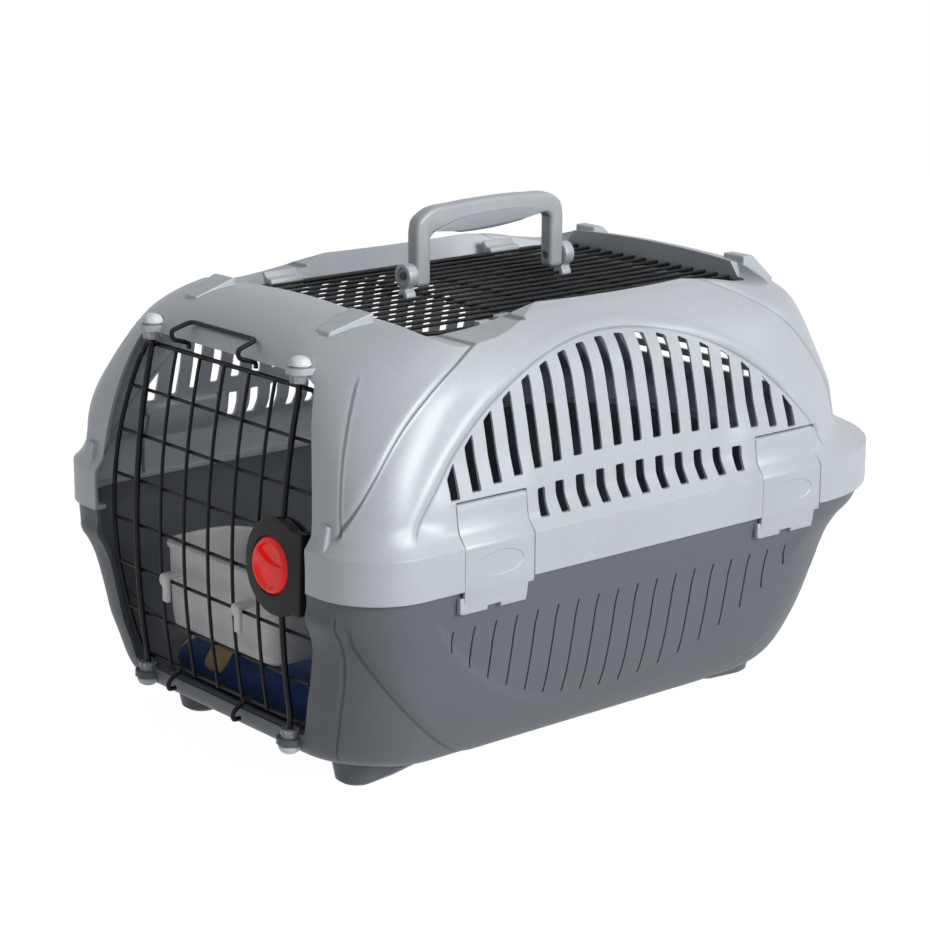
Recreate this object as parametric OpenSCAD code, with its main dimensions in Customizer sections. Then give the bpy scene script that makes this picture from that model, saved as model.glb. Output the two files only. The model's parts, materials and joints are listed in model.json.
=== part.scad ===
// Pet carrier: two moulded shells held by four side clips, a curved wire door with a rotary lock,
// a wire lid with a folding handle, a bowl on the door and a cushion on the floor.
// X runs along the carrier with the door at -X, Y across it, Z up from the floor.

/* [Body] */
// Overall length, over the rim of the upper shell
body_len = 554; // [480:1:640]
// Overall width, over the rim
body_w = 388; // [330:1:460]
// Height of the shells above the floor
body_h = 332; // [290:1:390]
// Wall thickness of both shells
wall = 3; // [2:0.5:5]
// Height of the parting line above the floor
rim_z = 159; // [140:1:180]
// Height of the rim's vertical band
rim_band = 30; // [22:1:40]
// How far the underside of the tub stands above the floor
tub_clear = 15; // [10:1:25]

/* [Vents] */
// Number of slots in the arched row
vent_n = 18; // [8:1:22]
// Slot pitch along the side
vent_pitch = 19; // [14:0.5:24]
// Width of one slot
vent_w = 8; // [4:0.5:11]
// Number of slots in the lower row
vent_low_n = 11; // [5:1:13]
// How much lower the arched row ends at both ends
vent_fall = 67; // [40:1:72]
// Number of rows of slots in the rear wall
rear_vent_n = 5; // [1:1:6]
// Distance between these rows
rear_vent_pitch = 11; // [9:0.5:14]
// Height of a slot in the rear wall
rear_vent_h = 5.5; // [3:0.5:7]

/* [Front door] */
// Height of the door between its top and bottom wires
door_h = 234; // [200:1:260]
// Distance between the hinge rod and the lock rods
door_rod_span = 179; // [150:1:200]
// How far the door bulges out at mid height
door_bulge = 11.7; // [6:0.1:18]
// How far each side wire bows out past the top corners
door_side_bow = 23; // [10:1:32]
// Diameter of the frame wire
frame_wire_d = 3.4; // [2.4:0.2:4.4]
// Diameter of the inner wires
grid_wire_d = 2.6; // [1.8:0.2:3.4]
// Diameter of the hinge rod and of the lock rods
rod_d = 4.4; // [3.4:0.2:5.4]
// Radial running clearance of every rod and pin
running_gap = 0.06; // [0.03:0.01:0.1]

/* [Lock] */
// Radius of the round side of the lock housing
lock_r = 34; // [30:1:38]
// Thickness of the lock housing in front of the wires
lock_t = 6; // [5:0.5:8]
// Diameter of the turning knob
knob_d = 40; // [30:1:44]
// Travel of each lock rod
rod_travel = 9; // [6:0.5:11]

/* [Wire lid] */
// Length of the roof opening
lid_len = 342; // [300:1:350]
// Width of the roof opening
lid_w = 218; // [180:1:226]
// Number of wires along the lid
lid_wire_n = 15; // [9:1:17]
// Number of wires across the lid
lid_cross_n = 4; // [2:1:6]
// Depth of the lid below the top of the roof rails
lid_recess = 16; // [12:1:20]

/* [Handle] */
// Length of the handle over its arms
handle_len = 143; // [120:1:170]
// Height of the grip's top above the lid
handle_h = 66; // [55:1:85]
// Thickness of the arms
arm_t = 13; // [10:0.5:16]

/* [Clips] */
// Length of one side clip
clip_len = 61; // [45:1:70]
// Distance of the front clips from the middle of the body
clip_front = 162; // [150:1:170]
// Distance of the rear clips from the middle of the body
clip_rear = 122; // [112:1:128]

/* [Bowl and cushion] */
// Width of the bowl
bowl_w = 138; // [110:1:150]
// Depth of the bowl from the door into the cabin
bowl_d = 72; // [55:1:90]
// Height of the bowl
bowl_h = 66; // [50:1:72]
// Thickness of the cushion
cushion_t = 40; // [25:1:50]

/* [Hidden] */
$fn = 48;
gap = 0.3;                    // clearance between pieces that don't touch
half_l = body_len / 2;
half_w = body_w / 2;
vent_x = -31;                 // middle of the vents along X
corner_steps = 9;             // points on each rounded corner of a shell ring

// ---- points and lofts -------------------------------------------------------------------------

// Points of a quarter circle that starts at angle a
function corner(cx, cy, r, a) =
    [for (i = [0 : corner_steps - 1]) let (t = a + 90 * i / (corner_steps - 1))
        [cx + r * cos(t), cy + r * sin(t)]];

// One level of a shell: s = [height, front x, rear x, half width, front radius, rear radius]
function ring(s) = [for (p = concat(
        corner(s[2] - s[5], s[3] - s[5], s[5], 0), corner(s[1] + s[4], s[3] - s[4], s[4], 90),
        corner(s[1] + s[4], s[4] - s[3], s[4], 180), corner(s[2] - s[5], s[5] - s[3], s[5], 270)))
    [p[0], p[1], s[0]]];

// The same level moved in by w and down by dz
function inset(s, w, dz = 0) = [s[0] + dz, s[1] + w, s[2] - w, s[3] - w, s[4] - w / 2, s[5] - w / 2];

// Closed solid through levels that run upwards
module loft(levels) {
    loft_rings([for (s = levels) ring(s)]);
}
module loft_rings(rings) {
    n = len(rings[0]);
    m = len(rings);
    sides = [for (j = [0 : m - 2], i = [0 : n - 1]) let (k = (i + 1) % n)
        [j * n + i, (j + 1) * n + i, (j + 1) * n + k, j * n + k]];
    base = [for (i = [0 : n - 1]) i];
    top = [for (i = [0 : n - 1]) (m - 1) * n + n - 1 - i];
    polyhedron([for (r = rings, p = r) p], concat(sides, [base, top]));
}

function unit(v) = v / norm(v);

// Round wire of radius r along a flat or gently turning path; side is a vector across the path
module wire(path, r, side, loop = false, sides = 10) {
    m = len(path);
    pts = [for (i = [0 : m - 1])
        let (a = loop ? path[(i + m - 1) % m] : path[max(i - 1, 0)])
        let (b = loop ? path[(i + 1) % m] : path[min(i + 1, m - 1)])
        let (t = unit(b - a), u = unit(cross(t, side)), v = cross(u, t))
        for (k = [0 : sides - 1]) path[i] + r * (cos(360 * k / sides) * u + sin(360 * k / sides) * v)];
    skin = [for (i = [0 : m - (loop ? 1 : 2)], k = [0 : sides - 1])
        let (l = (k + 1) % sides, n = (i + 1) % m)
        [i * sides + k, i * sides + l, n * sides + l, n * sides + k]];
    ends = loop ? [] : [[for (k = [sides - 1 : -1 : 0]) k], [for (k = [0 : sides - 1]) (m - 1) * sides + k]];
    polyhedron(pts, concat(skin, ends));
}

// Path with each inner corner rounded: p = points, r = radius of the rounding
function round_path(p, r, steps = 4) = concat([p[0]],
    [for (i = [1 : len(p) - 2]) let (
            a = unit(p[i - 1] - p[i]), b = unit(p[i + 1] - p[i]),
            d = min(r, norm(p[i - 1] - p[i]) / 2.05, norm(p[i + 1] - p[i]) / 2.05))
        for (k = [0 : steps]) let (t = k / steps)
            p[i] + a * d * (1 - t) * (1 - t) + b * d * t * t],
    [p[len(p) - 1]]);

// Straight round bar between two points
module bar(a, b, r) {
    d = b - a;
    translate(a)
        rotate([0, acos(d[2] / norm(d)), atan2(d[1], d[0])])
            cylinder(r = r, h = norm(d));
}

// ---- shells -----------------------------------------------------------------------------------

crease_z = rim_z + rim_band;
rim_rf = 50;                  // rim corner radius at the front
rim_rr = 119;                 // rim corner radius at the rear
roof_z = body_h;
face_x = -half_l + 9;         // front face of both shells at the parting line
// Levels of the upper shell from the parting line to the roof
upper_levels = [
    [rim_z, -half_l, half_l, half_w, rim_rf, rim_rr],
    [crease_z, -half_l, half_l, half_w, rim_rf, rim_rr],
    [crease_z + 4, -half_l + 1.5, half_l - 4, half_w - 1.5, rim_rf, rim_rr],
    [crease_z + 9, -half_l + 5, half_l - 16, half_w - 5, rim_rf - 4, rim_rr - 6],
    [crease_z + 16, face_x, half_l - 33, half_w - 8, rim_rf - 8, rim_rr - 12],
    [crease_z + 28, face_x + 1.5, half_l - 37, half_w - 9.7, rim_rf - 9, rim_rr - 13],
    [roof_z - 92, face_x + 5, half_l - 40, half_w - 13.5, rim_rf - 4, 108],
    [roof_z - 62, face_x + 11.5, half_l - 50, half_w - 20, 64, 110],
    [roof_z - 42, face_x + 18, half_l - 62, half_w - 25.5, 78, 102],
    [roof_z - 29, face_x + 22, half_l - 72, half_w - 33, 86, 92],
    [roof_z - 19, face_x + 32, half_l - 84, half_w - 44, 84, 84],
    [roof_z - 10, face_x + 53, half_l - 100, half_w - 57, 76, 76],
    [roof_z - 5, face_x + 100, half_l - 136, half_w - 66, 60, 60],
    [roof_z, face_x + 150, half_l - 190, half_w - 74, 44, 44]];
tub_z = tub_clear;
// Levels of the lower shell from its underside to the parting line
lower_levels = [
    [tub_z, face_x + 52, half_l - 106, half_w - 68, 40, 66],
    [tub_z + 6, face_x + 37, half_l - 88, half_w - 52, 50, 80],
    [tub_z + 19, face_x + 11, half_l - 70, half_w - 39, 58, 92],
    [tub_z + 45, face_x + 5.5, half_l - 56, half_w - 27, 56, 102],
    [tub_z + 85, face_x + 3, half_l - 43, half_w - 17.5, 50, 106],
    [rim_z - 40, face_x + 1, half_l - 38, half_w - 14, 46, 108],
    [rim_z - 30, -half_l + 7, half_l - 35, half_w - 11, 46, 108],
    [rim_z - 22, -half_l + 3, half_l - 28, half_w - 8.5, 46, 108],
    [rim_z - 9, -half_l + 1.5, half_l - 9, half_w - 5.5, 48, 112],
    [rim_z, -half_l + 1, half_l - 4, half_w - 4.5, 49, 115]];

seat_w = 9;                   // width of the seat under the rim of the upper shell
// Inside of the upper shell, with the seat at its foot
function upper_inner() = concat([inset(upper_levels[0], seat_w, -1), inset(upper_levels[0], seat_w, 3)],
    [inset(upper_levels[0], wall, 3.2)],
    [for (i = [1 : len(upper_levels) - 1]) inset(upper_levels[i], wall, i > 8 ? -wall : 0)]);
function lower_inner() = [for (i = [0 : len(lower_levels) - 1])
    inset(lower_levels[i], wall, i == 0 ? wall : (i == len(lower_levels) - 1 ? 1 : 0))];

// ---- front door frame --------------------------------------------------------------------------

door_tilt = 2.6;              // lean of the door's plane from the vertical
door_foot = 53;               // height of the door's bottom wire above the floor
door_mid = [-half_l + 26, 0, door_foot + door_h / 2];
half_h = door_h / 2;
rod_y = door_rod_span / 2;
grid_pitch = door_rod_span / 6;
corner_y = rod_y + 13;        // y of the side wires at the top and bottom wires
// y of the side wires at that height
function side_y(z) = corner_y + door_side_bow * (1 - (z / half_h) * (z / half_h));
arc_r = (half_h * half_h + door_bulge * door_bulge) / (2 * door_bulge);
// Bulge of the door's surface at height z above its middle
function door_x(z) = arc_r - door_bulge - sqrt(arc_r * arc_r - z * z);
frame_r = frame_wire_d / 2;
grid_r = grid_wire_d / 2;
rod_r = rod_d / 2;

// Puts a child in the door's own frame, whose z runs up the door
module on_door() {
    translate(door_mid)
        rotate([0, door_tilt, 0])
            children();
}

door_reveal = 4;              // from the side wire's centre to the edge of the door opening
head_z = door_mid[2] + half_h + 10;    // top edge of the door opening
sill_z = door_mid[2] - half_h - 7;     // top of the sill
side_steps = 12;
// Outline of the door opening in y and z
function door_gap_side(s) = [for (i = [0 : side_steps]) let (
        z = -half_h - 5 + (door_h + 10) * i / side_steps)
    [s * (side_y(z) + door_reveal), door_mid[2] + z]];
module door_gap_outline() {
    left = door_gap_side(1);
    right = door_gap_side(-1);
    polygon(concat(
        [[corner_y - 8, sill_z]], left, [[corner_y - 8, head_z], [-(corner_y - 8), head_z]],
        [for (i = [side_steps : -1 : 0]) right[i]], [[-(corner_y - 8), sill_z]]));
}
module door_gap() {
    translate([-half_l - 10, 0, 0])
        rotate([90, 0, 90])
            linear_extrude(70)
                door_gap_outline();
}

touch = 0.05;                 // gap between wires that are welded together
rod_x = -frame_r - rod_r - touch;      // hinge rod in front of the frame wire
lock_dx = rod_x - gap;        // lock rods, free of the wires
lock_kink = half_h - 5;       // where a lock rod becomes straight
lock_end_x = arc_r - door_bulge - sqrt(pow(arc_r - lock_dx, 2) - lock_kink * lock_kink);
function end_x(s) = s > 0 ? rod_x : lock_end_x;

// Bushes stand in ears of the shells, on the axes of the rods
bush_r = 6.5;
cap_r = 8;
cap_h = 6.6;
bush_in = half_h + 4.5;       // end of a bush next to the door
bush_out = bush_in + rod_travel + 2.5; // end of a bush under its cap
ear_in = bush_in + 6;
ear_out = bush_out - 1;
// Places a child at the bush on side s, with z pointing away from the door at end e
module at_bush(s, e) {
    on_door()
        translate([end_x(s), s * rod_y, 0])
            mirror([0, 0, e > 0 ? 0 : 1])
                children();
}
module bush_holes(e) {
    for (s = [-1, 1])
        at_bush(s, e) {
            translate([0, 0, bush_in - 2])
                cylinder(r = bush_r + 0.02, h = bush_out - bush_in + 6);
            translate([0, 0, bush_out + 0.1])
                cylinder(r = cap_r + gap, h = 14);
            translate([0, 0, half_h - 4])
                cylinder(r = bush_r + 1.5, h = 12);
        }
}
module ears(e, depth) {
    for (s = [-1, 1])
        at_bush(s, e) {
            translate([0, 0, ear_in])
                cylinder(r = 9.5, h = ear_out - ear_in);
            translate([0, -9.5, ear_in])
                cube([depth, 19, ear_out - ear_in]);
        }
}

// ---- roof opening -------------------------------------------------------------------------------

lid_mid_x = -13;
lid_x0 = lid_mid_x - lid_len / 2;
lid_x1 = lid_mid_x + lid_len / 2;
lid_half = lid_w / 2;
front_half = lid_half - 32;   // half width of the opening's front edge
rail_lean = 9;                // how far the rails' inner faces lean out up to the roof
// Outline of the opening moved out by o, with its long sides moved out by lean
function lid_side(o, lean) = let (h = lid_half + o + lean) [
    [lid_x0 - o, front_half + o / 2 + lean / 2], [lid_x0 + 17 - 0.6 * o, h - 14 + 0.3 * (o + lean)],
    [lid_x0 + 30 - 0.2 * o, h - 2.5], [lid_x0 + 50, h], [lid_x1 - 18, h],
    [lid_x1 - 4 + 0.7 * o, h - 2.5 + 0.1 * lean], [lid_x1 + o, h - 7 + 0.3 * lean]];
function lid_outline(o, lean = 0) = let (side = lid_side(o, lean)) concat(
    [for (q = side) [q[0], -q[1]]], [for (i = [len(side) - 1 : -1 : 0]) side[i]]);
ledge_w = 8;                  // width of the ledge that carries the lid
ledge_z = roof_z - lid_recess - 4.8;   // top of that ledge
lid_r = 1.7;
long_r = 1.25;
frame_z = ledge_z + gap + lid_r;
long_z = frame_z + lid_r + long_r + 0.05;
hinge_y = lid_half - 4;
// Space of the opening between the leaning rails, moved out by o
module lid_funnel(o, z0, z1) {
    loft_rings([for (z = [z0, z1]) let (lean = rail_lean * (z - ledge_z) / (roof_z - ledge_z))
        [for (q = lid_outline(o, lean)) [q[0], q[1], z]]]);
}
module lid_prism(o, z0, z1) {
    translate([0, 0, z0])
        linear_extrude(z1 - z0)
            polygon(lid_outline(o));
}

// ---- side vents and clips -----------------------------------------------------------------------

vent_base = roof_z - 100;     // lower end of the arched slots at mid length
vent_drop = 14;               // how much lower it lies at both ends of the row
arch_top = roof_z - 26;
low_top = vent_base - 13;
low_bottom = crease_z + 7;
function row_x(i) = vent_x + vent_pitch * (i - (vent_n - 1) / 2);
function base_z(x, z) = z - vent_drop * pow((x - vent_x) / (vent_pitch * vent_n / 2), 2);
function arch_z(x) = let (
    d = vent_pitch * (vent_n - 1) / 2, r = (d * d + vent_fall * vent_fall) / (2 * vent_fall))
    arch_top - r + sqrt(max(0, r * r - pow(x - vent_x, 2)));
module vent_cuts() {
    low_first = ceil((vent_n - vent_low_n) / 2);
    for (i = [0 : vent_n - 1]) {
        x = row_x(i);
        xl = x - vent_w / 2;
        xr = x + vent_w / 2;
        translate([0, half_w + 10, 0])
            rotate([90, 0, 0])
                linear_extrude(body_w + 20)
                    polygon([[xl, base_z(x, vent_base)], [xr, base_z(x, vent_base)],
                        [xr, arch_z(xr)], [xl, arch_z(xl)]]);
    }
    for (i = [low_first : low_first + vent_low_n - 1]) {
        x = row_x(i);
        translate([x - vent_w / 2, -half_w - 10, low_bottom])
            cube([vent_w, body_w + 20, base_z(x, low_top) - low_bottom]);
    }
}

rear_vent_z = crease_z + 29;  // middle of the lowest row in the rear wall
rear_vent_half = 100;         // half length of that row
rear_bar_y = [-78, -26, 26, 78];       // upright bars between its slots
rear_bar_w = 6;
// Half length of row i; the rows get shorter towards the roof
function rear_row(i) = rear_vent_half * sqrt(1 - pow(i / (rear_vent_n + 1.2), 2));
module rear_vent_cuts() {
    for (i = [0 : rear_vent_n - 1]) {
        l = rear_row(i);
        z = rear_vent_z + i * rear_vent_pitch - rear_vent_h / 2;
        edges = concat([-l - rear_bar_w / 2], [for (y = rear_bar_y) if (abs(y) < l - 12) y],
            [l + rear_bar_w / 2]);
        for (k = [0 : len(edges) - 2])
            translate([half_l - 110, edges[k] + rear_bar_w / 2, z])
                cube([120, edges[k + 1] - edges[k] - rear_bar_w, rear_vent_h]);
    }
}

clip_t = 2.6;                 // thickness of a clip
tab_drop = 17;                // how far a clip's tab hangs below the parting line
tab_shift = 4;                // the tab stands further forward than the clip by this
notch_w = 12;                 // notch in the tab's lower edge
notch_h = 3;
knuckle_r = 2.8;
pin_r = 1.4;
pin_len = 4;
pivot_y = half_w - 12;
pivot_z = crease_z + 25;
// Outer outline of rim and clip in distance from the centre plane and height
function clip_outer() = [
    [pivot_y + knuckle_r, pivot_z], [half_w - 7.6, crease_z + 15], [half_w - 4.6, crease_z + 8],
    [half_w - 1.4, crease_z + 4], [half_w - 0.2, crease_z - 1], [half_w - 0.2, rim_z + 1],
    [half_w - 0.8, rim_z - 4], [half_w - 1.5, rim_z - 9], [half_w - 2.9, rim_z - tab_drop]];
function shift_in(p, d) = [for (q = p) [q[0] - d, q[1]]];
function reversed(p) = [for (i = [len(p) - 1 : -1 : 0]) p[i]];
module clip_outline(extra = 0) {
    o = clip_outer();
    polygon(concat(shift_in(o, -extra), reversed(shift_in(o, clip_t + extra))));
}
clip_centres = [-clip_front, clip_rear];
// Extrudes a profile of distance and height along X, on side s
module along_x(x0, x1, s) {
    mirror([0, s > 0 ? 0 : 1, 0])
        translate([x0, 0, 0])
            rotate([90, 0, 90])
                linear_extrude(x1 - x0)
                    children();
}
// Extrudes a profile of x and height along Y from y0 to y1, on side s
module along_y(y0, y1, s) {
    mirror([0, s > 0 ? 0 : 1, 0])
        translate([0, y1, 0])
            rotate([90, 0, 0])
                linear_extrude(y1 - y0)
                    children();
}
module clip_pockets() {
    for (s = [-1, 1], c = clip_centres) {
        x0 = c - clip_len / 2 - 0.5;
        x1 = c + clip_len / 2 + 0.5;
        along_x(x0, x1, s) {
            intersection() {
                clip_outline(1);
                translate([half_w - 30, rim_z - 1])
                    square([60, 100]);
            }
            translate([pivot_y, pivot_z])
                circle(r = knuckle_r + 0.5);
            // room for the root of an open clip
            translate([pivot_y, pivot_z])
                polygon([[0, 0], [0, knuckle_r + 0.7], [7, knuckle_r + 3.2], [7, 0]]);
        }
    }
}
module clip_webs() {
    o = clip_outer();
    backed = [for (i = [0 : 5]) o[i]];
    for (s = [-1, 1], c = clip_centres) {
        along_x(c - clip_len / 2 - 3, c + clip_len / 2 + 3, s)
            polygon(concat(shift_in(backed, clip_t + 0.6), reversed(shift_in(backed, clip_t + 4))));
        for (e = [-1, 1])
            along_x(c + e * (clip_len / 2 + 0.5 + pin_len / 2) - pin_len / 2 - 1,
                    c + e * (clip_len / 2 + 0.5 + pin_len / 2) + pin_len / 2 + 1, s)
                translate([pivot_y - 4, pivot_z - 4])
                    square([6.2, 7.4]);
    }
}
module clip_bores() {
    for (s = [-1, 1], c = clip_centres)
        along_x(c - clip_len / 2 - pin_len - 0.8, c + clip_len / 2 + pin_len + 0.8, s)
            translate([pivot_y, pivot_z])
                circle(r = pin_r + running_gap);
}

hump_l = 32;
hump_y = front_half + 4;       // middle of the front humps
hump_rise = 3.5;              // height of the humps above the roof
// Corner humps of the roof, on side s
module humps(s) {
    front_x = lid_x0 - 9;
    rear_x = lid_x1 + 8;
    rear_y = lid_half - 25;
    hull() {
        translate([front_x, s * hump_y - 11, roof_z - 20])
            cube([3, 22, 14 + hump_rise]);
        translate([front_x - hump_l, s * (hump_y - 2) - 4, roof_z - 30])
            cube([3, 8, 13]);
    }
    hull() {
        translate([rear_x, s * rear_y - 11, roof_z - 26])
            cube([10, 22, 21 + hump_rise]);
        translate([rear_x + hump_l, s * rear_y - 9, roof_z - 40])
            cube([3, 18, 18]);
    }
}

dip_z = ledge_z + 3.3;        // height of the rails' low ends
// Space over the low ends of the rails, moved down by d; front from y0 and rear from y1 outwards
module shoulders(d, y0, y1) {
    translate([0, 0, d])
        for (s = [-1, 1]) {
            along_y(y0, half_w, s)
                polygon([[lid_x0 - 6, roof_z + 12], [lid_x0 - 1, roof_z - 6], [lid_x0 + 16, dip_z + 0.5],
                    [lid_x0 + 54, dip_z], [lid_x0 + 82, dip_z + 5], [lid_x0 + 106, roof_z - 5],
                    [lid_x0 + 126, roof_z + 12]]);
            along_y(y1, half_w, s)
                polygon([[lid_x1 - 112, roof_z + 12], [lid_x1 - 98, roof_z - 1], [lid_x1 - 48, roof_z - 9],
                    [lid_x1 - 12, dip_z + 2], [lid_x1 + 1, dip_z + 1.5], [lid_x1 + 8, roof_z + 12]]);
        }
}
latch_x = lid_x0 + 96;        // middle of the latch along the lid
latch_len = 22;
catch_rise = 2.6;             // underside of the catch above the lid's frame wire
// Catch on the wall of the roof opening, over the tongue of the latch once it has slid forward
module latch_catch() {
    translate([latch_x - latch_len / 2 - 14, -lid_half - 4, frame_z + catch_rise])
        cube([12, 5.9, 2.4]);
}
module upper_shell() color("silver") {
    latch_catch();
    difference() {
        union() {
            difference() {
                loft(upper_levels);
                difference() {
                    loft(upper_inner());
                    lid_funnel(wall, ledge_z - 3, roof_z + 20);
                    shoulders(-wall, lid_half - 1, lid_half - 1);
                }
            }
            clip_webs();
            ears(1, 16);
            humps(1);
            humps(-1);
        }
        lid_funnel(0, ledge_z, roof_z + 12);
        shoulders(0, front_half - 1, lid_half - 11);
        lid_prism(-ledge_w, ledge_z - 10, roof_z + 2);
        door_gap();
        bush_holes(1);
        vent_cuts();
        rear_vent_cuts();
        clip_pockets();
        clip_bores();
    }
}

// ---- lower shell ---------------------------------------------------------------------------------

foot_in = [68, 117];          // from the ends of the body to the feet's round ends
foot_x = [-half_l + foot_in[0], half_l - foot_in[1]];
foot_y = half_w - 98;
foot_reach = [92, 66];        // how far each foot runs on under the tub
sill_x = -half_l + 22.5;      // bar along the top of the sill
rib_w = 1.6;
rib_depth = 0.8;
module foot(e, s) {
    x = foot_x[e];
    dir = e == 0 ? 1 : -1;
    hull() {
        translate([x, s * foot_y, 0])
            cylinder(r1 = 12, r2 = 20, h = tub_z + 10, $fn = 32);
        translate([x + dir * 24, s * foot_y, 0])
            cylinder(r1 = 9, r2 = 17, h = tub_z + 6, $fn = 32);
        translate([x + dir * foot_reach[e], s * foot_y, tub_z - 2])
            cylinder(r = 12, h = 6, $fn = 32);
    }
}
side_table = [for (s = lower_levels) [s[0], s[3]]];
function side_at(z) = lookup(z, side_table);
module rib_grooves() {
    for (i = [0 : vent_n - 1], s = [-1, 1]) {
        x = row_x(i);
        z0 = 300 - sqrt(240 * 240 - pow(x - vent_x, 2));
        z1 = rim_z - 27;
        zs = concat([z0], [for (p = side_table) if (p[0] > z0 && p[0] < z1) p[0]], [z1]);
        along_x(x - rib_w / 2, x + rib_w / 2, s)
            polygon(concat([for (z = zs) [side_at(z) - rib_depth, z]],
                [for (j = [len(zs) - 1 : -1 : 0]) [side_at(zs[j]) + 3, zs[j]]]));
    }
}
module lower_shell() color("dimgray") {
    difference() {
        union() {
            difference() {
                loft(lower_levels);
                loft(lower_inner());
                door_gap();
                rib_grooves();
            }
            for (e = [0, 1], s = [-1, 1])
                foot(e, s);
            ears(-1, 12);
            bar([sill_x, -corner_y + 6, sill_z - 3.5], [sill_x, corner_y - 6, sill_z - 3.5], 4);
        }
        loft([for (i = [0 : 2]) lower_inner()[i]]);
        bush_holes(-1);
    }
}

// ---- side clips ----------------------------------------------------------------------------------

module side_clip(c, s) {
    tab_x0 = c - clip_len / 2 - tab_shift + 1;
    tab_x1 = c + clip_len / 2 - tab_shift - 1;
    y0 = s > 0 ? 0 : -body_w;
    along_x(c - clip_len / 2, c + clip_len / 2, s)
        intersection() {
            clip_outline();
            translate([0, rim_z - 4])
                square([body_w, body_h]);
        }
    // tab over the side of the lower shell, with a notch in its lower edge
    difference() {
        along_x(tab_x0, tab_x1, s)
            intersection() {
                clip_outline();
                translate([0, rim_z - tab_drop - 10])
                    square([body_w, tab_drop + 8]);
            }
        translate([c - notch_w / 2 - 3, y0, rim_z - tab_drop - 10])
            cube([notch_w, body_w, 10 + notch_h]);
    }
    along_x(c - clip_len / 2, c + clip_len / 2, s)
        translate([pivot_y, pivot_z])
            circle(r = knuckle_r);
    along_x(c - clip_len / 2 - pin_len, c + clip_len / 2 + pin_len, s)
        translate([pivot_y, pivot_z])
            circle(r = pin_r);
}
module side_clip_front_right() color("silver") side_clip(clip_centres[0], -1);
module side_clip_rear_right() color("silver") side_clip(clip_centres[1], -1);
module side_clip_front_left() color("silver") side_clip(clip_centres[0], 1);
module side_clip_rear_left() color("silver") side_clip(clip_centres[1], 1);

// ---- front door wires ----------------------------------------------------------------------------

frame_steps = 12;
corner_r = 8;
function side_points(s) = [for (i = [1 : frame_steps - 1]) let (z = half_h * (2 * i / frame_steps - 1))
    [door_x(z), s * side_y(z), z]];
// Rounded corner of the frame at end e and side s, from the cross wire to the side wire
function frame_corner(s, e) = [for (k = [0 : 4]) let (t = k * 22.5)
    [door_x(half_h - corner_r * (1 - cos(t))), s * (corner_y + 1.5 - corner_r * (1 - sin(t))),
        e * (half_h - corner_r * (1 - cos(t)))]];
frame_loop = concat(frame_corner(1, -1), side_points(1), reversed(frame_corner(1, 1)),
    frame_corner(-1, 1), reversed(side_points(-1)), reversed(frame_corner(-1, -1)));
module door_frame_wire() color([0.1, 0.1, 0.1])
    on_door()
        wire(frame_loop, frame_r, [1, 0, 0], true);

// Bar of radius r at y, along the door's curve moved by dx, from height z0 to z1
module arc_bar(y, r, dx, z0, z1) {
    ra = arc_r - dx;
    a0 = asin(z0 / ra);
    a1 = asin(z1 / ra);
    translate([arc_r - door_bulge, y, 0])
        rotate([90, 0, 0])
            rotate([0, 0, 180 - a1])
                rotate_extrude(angle = a1 - a0, $fn = 180)
                    translate([ra, 0])
                        circle(r = r, $fn = 16);
}
flush = -frame_r + grid_r;    // puts a cross wire's front in line with the frame wire's
module door_vertical_wires() color([0.1, 0.1, 0.1])
    on_door()
        for (k = [1 : 5])
            arc_bar(rod_y - k * grid_pitch, grid_r, -frame_r - grid_r - touch, -half_h, half_h);
module door_cross_wires() color([0.1, 0.1, 0.1])
    on_door()
        for (k = [1 : 6]) {
            z = half_h - k * door_h / 7;
            lean = 2 * door_side_bow * abs(z) / (half_h * half_h);
            w = side_y(z) - (frame_r + touch) * sqrt(1 + lean * lean) - grid_r * lean;
            bar([door_x(z) + flush, -w, z], [door_x(z) + flush, w, z], grid_r);
        }
loop_mid = 7.9;
loop_w = 81.2;
loop_y = [loop_mid + loop_w / 2, loop_mid - loop_w / 2]; // legs of the pull loop and of the hooks
weld = frame_r * 2 + touch;
module door_pull_loop() color([0.1, 0.1, 0.1])
    on_door()
        wire(round_path([
            [0, loop_y[0], half_h + weld], [0, loop_y[0], half_h + 7.5], [-13, loop_y[0] + 2, half_h + 11],
            [-14, loop_y[0] + 2, half_h + 17], [0.8, loop_y[0] - 1, half_h + 23],
            [0.8, loop_y[1] + 1, half_h + 23], [-14, loop_y[1] + 2, half_h + 17],
            [-13, loop_y[1] + 2, half_h + 11], [0, loop_y[1], half_h + 7.5],
            [0, loop_y[1], half_h + weld]], 5), frame_r, [1, 0.22, 0.13]);
module door_sill_hooks() color([0.1, 0.1, 0.1])
    on_door()
        for (y = loop_y)
            wire(round_path([[-weld, y, -half_h + 1], [-weld - 1, y, -half_h - 2],
                [-13, y, -half_h - 7], [-13.5, y, -half_h - 13.5], [-7, y, -half_h - 13]], 4),
                frame_r, [0, 1, 0]);
module door_hinge_rod() color([0.1, 0.1, 0.1])
    on_door() {
        arc_bar(rod_y, rod_r, rod_x, -half_h + 1, half_h - 1);
        for (e = [-1, 1])
            mirror([0, 0, e > 0 ? 0 : 1])
                translate([rod_x, rod_y, half_h - 2])
                    cylinder(r = rod_r, h = bush_out - half_h);
    }

// ---- lock ----------------------------------------------------------------------------------------

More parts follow.
